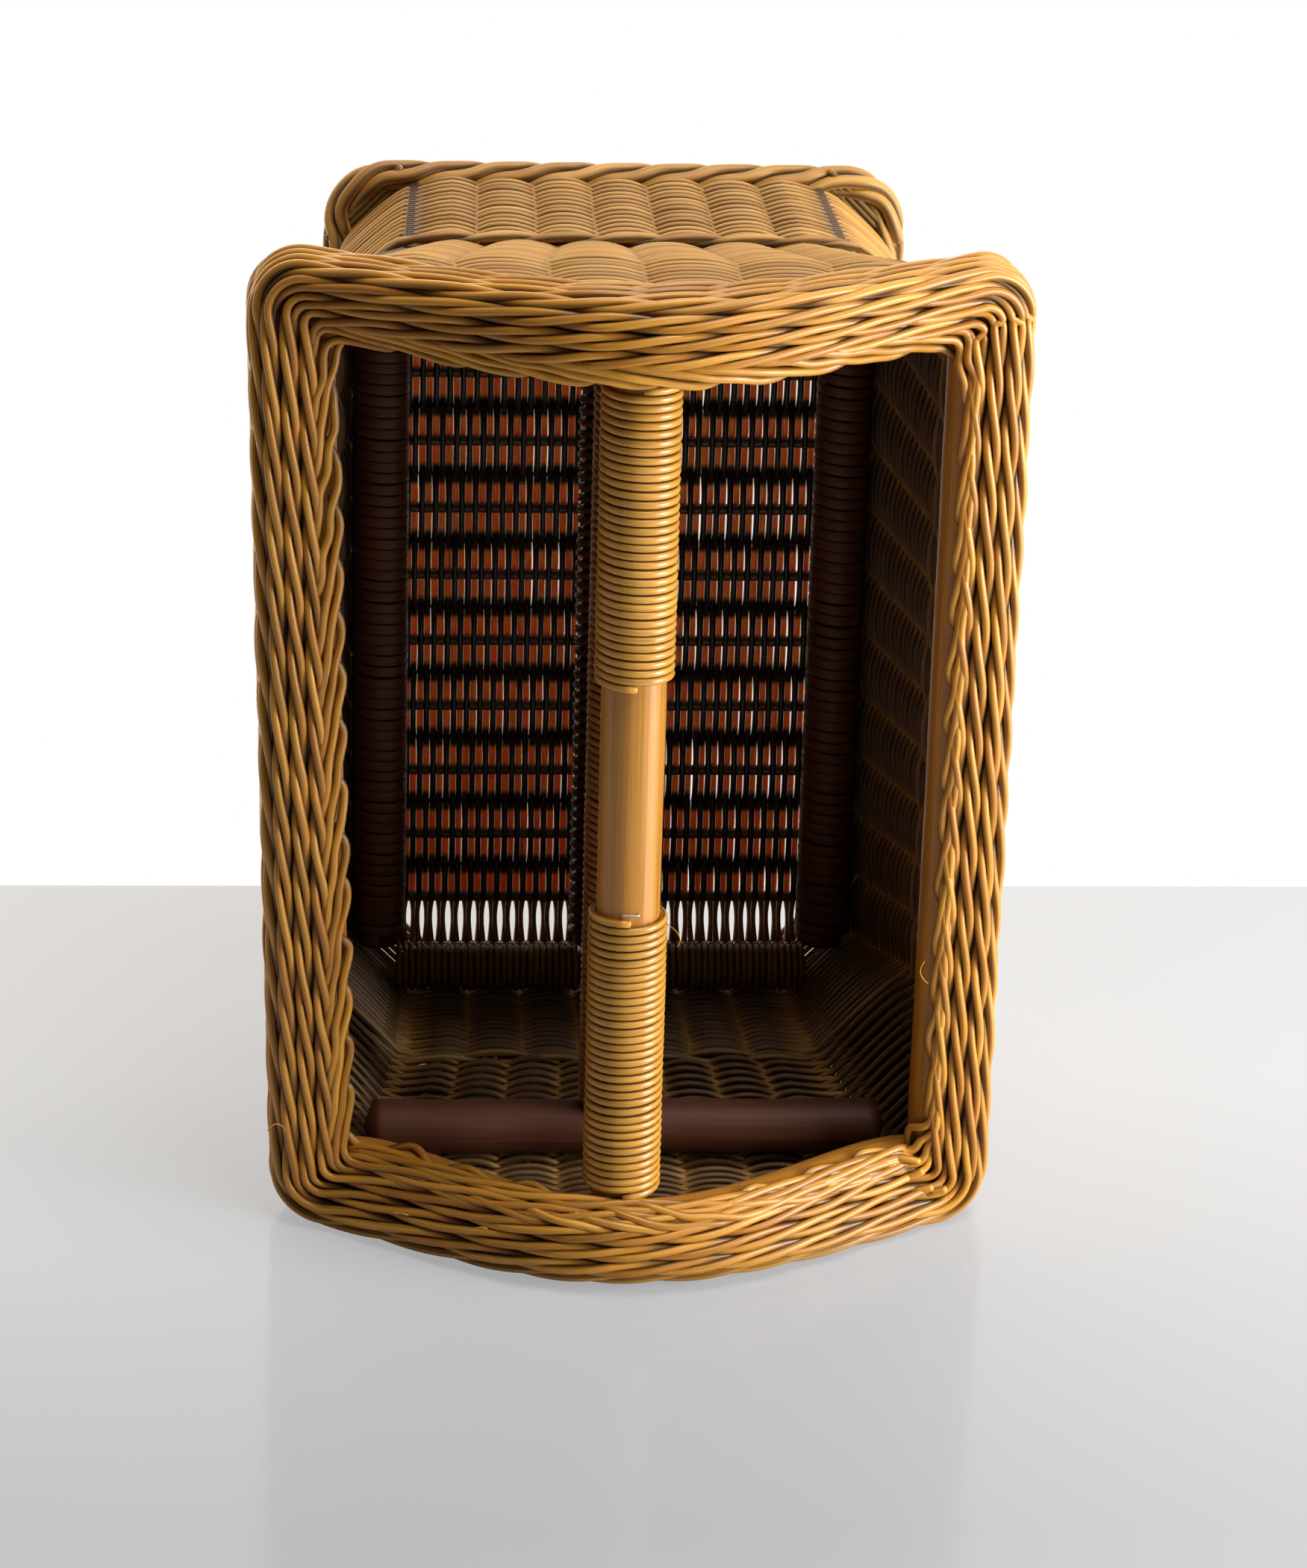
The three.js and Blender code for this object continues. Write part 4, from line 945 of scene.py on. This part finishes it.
# Small things
def loose_ends():
    """Cut strand ends at the rim's rear right corner and a few torn fibres: bent lines, each drawn by
    three points in millimetres, from the first to the last and towards the middle one."""
    share = np.linspace(0, 1, 12)[None, :, None]

    def bent(first, middle, last):
        first, middle, last = (np.array(v, float)[:, None, :] / 1000 for v in (first, middle, last))
        return first * (1 - share) ** 2 + middle * 2 * share * (1 - share) + last * share ** 2

    stubs = bent([(-176, -103, 204.5), (-180, -107, 204), (-165, -103, 203), (-183, -115, 202.5)],
                 [(-172, -111, 207.5), (-177, -115, 207.5), (-163, -109, 206), (-178, -121, 206.5)],
                 [(-168.5, -117.5, 207.5), (-175.5, -121.5, 207.8), (-165, -116, 206.5),
                  (-176.5, -127, 207.5)])
    fibres = bent([(-47, -11, 247), (-176, 88, 228), (-176, 62, 246), (-150, 131, 208), (-90, -116, 204)],
                  [(-50, -18, 252), (-170, 92, 236), (-168, 58, 252), (-142, 134, 213), (-84, -110, 208)],
                  [(-55, -15, 250), (-172, 84, 237), (-172, 54, 249), (-148, 138, 212), (-80, -114, 206)])
    sets = [tubes(stubs, 0.0016, UP, sides=9, tone=1.25), tubes(fibres, 0.00017, UP, sides=5, tone=1.3)]
    piece("rim_loose_ends", sets, RIM_REED, [])


def staple():
    """The small steel staple that holds the rear winding's first turn: a bar with two bent legs."""
    angle = np.linspace(0, np.pi / 2, 5)
    half, leg, bend, wire = 0.0032, 0.0016, 0.0007, 0.00045
    y = np.append(-half, -half + bend * (1 - np.cos(angle)))
    z = np.append(-leg, bend * np.sin(angle) - bend)
    line = spots(-0.0430, MIDDLE_OFFSET + np.append(y, -y[::-1]), 0.2492 + np.append(z, z[::-1]))
    sets = [tubes(line[None], wire, np.array([1.0, 0, 0]), sides=8)]
    piece("handle_staple_wire", sets, STEEL, ["handle_staple"])


# Camera, table and light
# The camera is fitted to the rim, foot, handle and floor in the photograph. The focal length is in pixels.
PICTURE_HEIGHT = 2100
FOCAL_LENGTH = 5945.36526
SENSOR_HEIGHT = 36
CAMERA_PLACE = (0.59125357, 0.10650436, 1.76397102)
CAMERA_RIGHT = (0.02680, -0.99767, 0.06275)
CAMERA_UP = (0.93345, 0.00251, -0.35871)
CAMERA_AHEAD = (-0.35772, -0.06819, -0.93134)
# The table's top touches the rear end of the foot and of the rim.
TABLE_FOOT = np.array([-0.1845, 0, 0.003])
TABLE_RIM = np.array([-0.1945, 0, 0.225])
TABLE_WHITE = 0.55
WHITE = (1, 1, 1, 1)
DAYLIGHT = (1.0, 0.985, 0.96)


def set_camera():
    """The photograph's view: the basket lies on its rear end, its open top to the camera."""
    lens = bpy.data.cameras.new("view")
    lens.sensor_fit = "VERTICAL"
    lens.sensor_height = SENSOR_HEIGHT
    lens.lens = FOCAL_LENGTH / PICTURE_HEIGHT * SENSOR_HEIGHT
    camera = bpy.data.objects.new("view", lens)
    bpy.context.scene.collection.objects.link(camera)
    turn = Matrix([[r, u, -a] for r, u, a in zip(CAMERA_RIGHT, CAMERA_UP, CAMERA_AHEAD)]).to_4x4()
    camera.matrix_world = Matrix.Translation(CAMERA_PLACE) @ turn
    bpy.context.scene.camera = camera
    bpy.context.scene.view_settings.view_transform = "Standard"


def table_finish():
    """A smooth white table top. A share of what the camera sees, TABLE_WHITE, is painted light: a white glow
    of its own, brighter at its far edge, so that shadows on it stay pale. It isn't there for a camera behind
    it."""
    made = bpy.data.materials.new("table_top")
    node = node_maker(made)
    seen = node("LightPath", {})["Is Camera Ray"]
    skin = node("BsdfPrincipled", {"Base Color": (0.46, 0.48, 0.51, 1), "Roughness": 0.13,
                                   "Specular IOR Level": 0.4})[0]
    height = node("SeparateXYZ", {0: node("TexCoord", {})["Object"]})["Z"]
    pale = node("MapRange", {"Value": height, "From Min": 0.08, "From Max": 0.42,
                             "To Min": 0.84, "To Max": 0.49})["Result"]
    own = node("Emission", {"Color": (0.98, 0.985, 1, 1), "Strength": pale})[0]
    share = node("Math", {0: seen, 1: TABLE_WHITE}, operation="MULTIPLY")[0]
    top = node("MixShader", {0: share, 1: skin, 2: own})[0]
    behind = node("Math", {0: node("NewGeometry", {})["Backfacing"], 1: seen}, operation="MULTIPLY")[0]
    clear = node("BsdfTransparent", {})[0]
    node("OutputMaterial", {"Surface": node("MixShader", {0: behind, 1: top, 2: clear})[0]})
    return made


def set_table():
    """The white table: a plane against the rear end of foot and rim, its face to the basket."""
    along = unit(TABLE_RIM - TABLE_FOOT)
    near, far, side = 1.6, -0.115, 1.5
    corners = [TABLE_FOOT + along * t + (0, s, 0)
               for t, s in ((far, -side), (far, side), (near, side), (near, -side))]
    mesh = bpy.data.meshes.new("table")
    mesh.from_pydata([tuple(c) for c in corners], [], [(0, 1, 2, 3)])
    table = bpy.data.objects.new("table", mesh)
    bpy.context.scene.collection.objects.link(table)
    mesh.materials.append(table_finish())
    if mesh.polygons[0].normal.x < 0:
        mesh.flip_normals()


def set_room():
    """The room is bright behind and below the basket's floor, where the white wall is, and dim before its
    opening. The camera sees it plain white."""
    world = bpy.data.worlds.new("room")
    bpy.context.scene.world = world
    node = node_maker(world)
    rays = node("LightPath", {})
    way = node("SeparateXYZ", {0: node("TexCoord", {})["Generated"]})["Z"]
    bright = node("MapRange", {"Value": way, "From Min": -0.75, "From Max": 0.05, "To Min": 2.2,
                               "To Max": 0.055}, interpolation_type="SMOOTHSTEP")["Result"]
    lit = node("Background", {"Color": (1, 0.89, 0.76, 1), "Strength": bright})[0]
    seen = node("Background", {"Color": WHITE})[0]
    both = node("Math", {0: rays["Is Camera Ray"], 1: rays["Is Transmission Ray"]}, operation="MAXIMUM")[0]
    node("OutputWorld", {"Surface": node("MixShader", {0: both, 1: lit, 2: seen})[0]})


def lamp(name, place, target, size, power):
    """A round window of daylight that faces its target and isn't seen itself."""
    light = bpy.data.lights.new(name, "AREA")
    light.shape = "DISK"
    light.size = size
    light.energy = power
    light.color = DAYLIGHT
    made = bpy.data.objects.new(name, light)
    made.location = place
    made.visible_camera = False
    made.rotation_euler = (Vector(target) - Vector(place)).to_track_quat("-Z", "Y").to_euler()
    bpy.context.scene.collection.objects.link(made)


set_camera()
set_table()
set_room()
lamp("window", (1.78, -0.40, 0.62), (0, 0, 0.15), 0.9, 22)
lamp("right_window", (0.12, -1.05, 0.62), (0, 0, 0.20), 0.6, 21)
rim_ropes()
rim_edging()
rim_bed()
lower_wall()
upper_wall()
arch_weave()
mid_band()
foot_border()
handle()
rail()
rim_poles()
floor_weave()
floor_edges()
base_stakes()
floor_poles()
staple()
loose_ends()
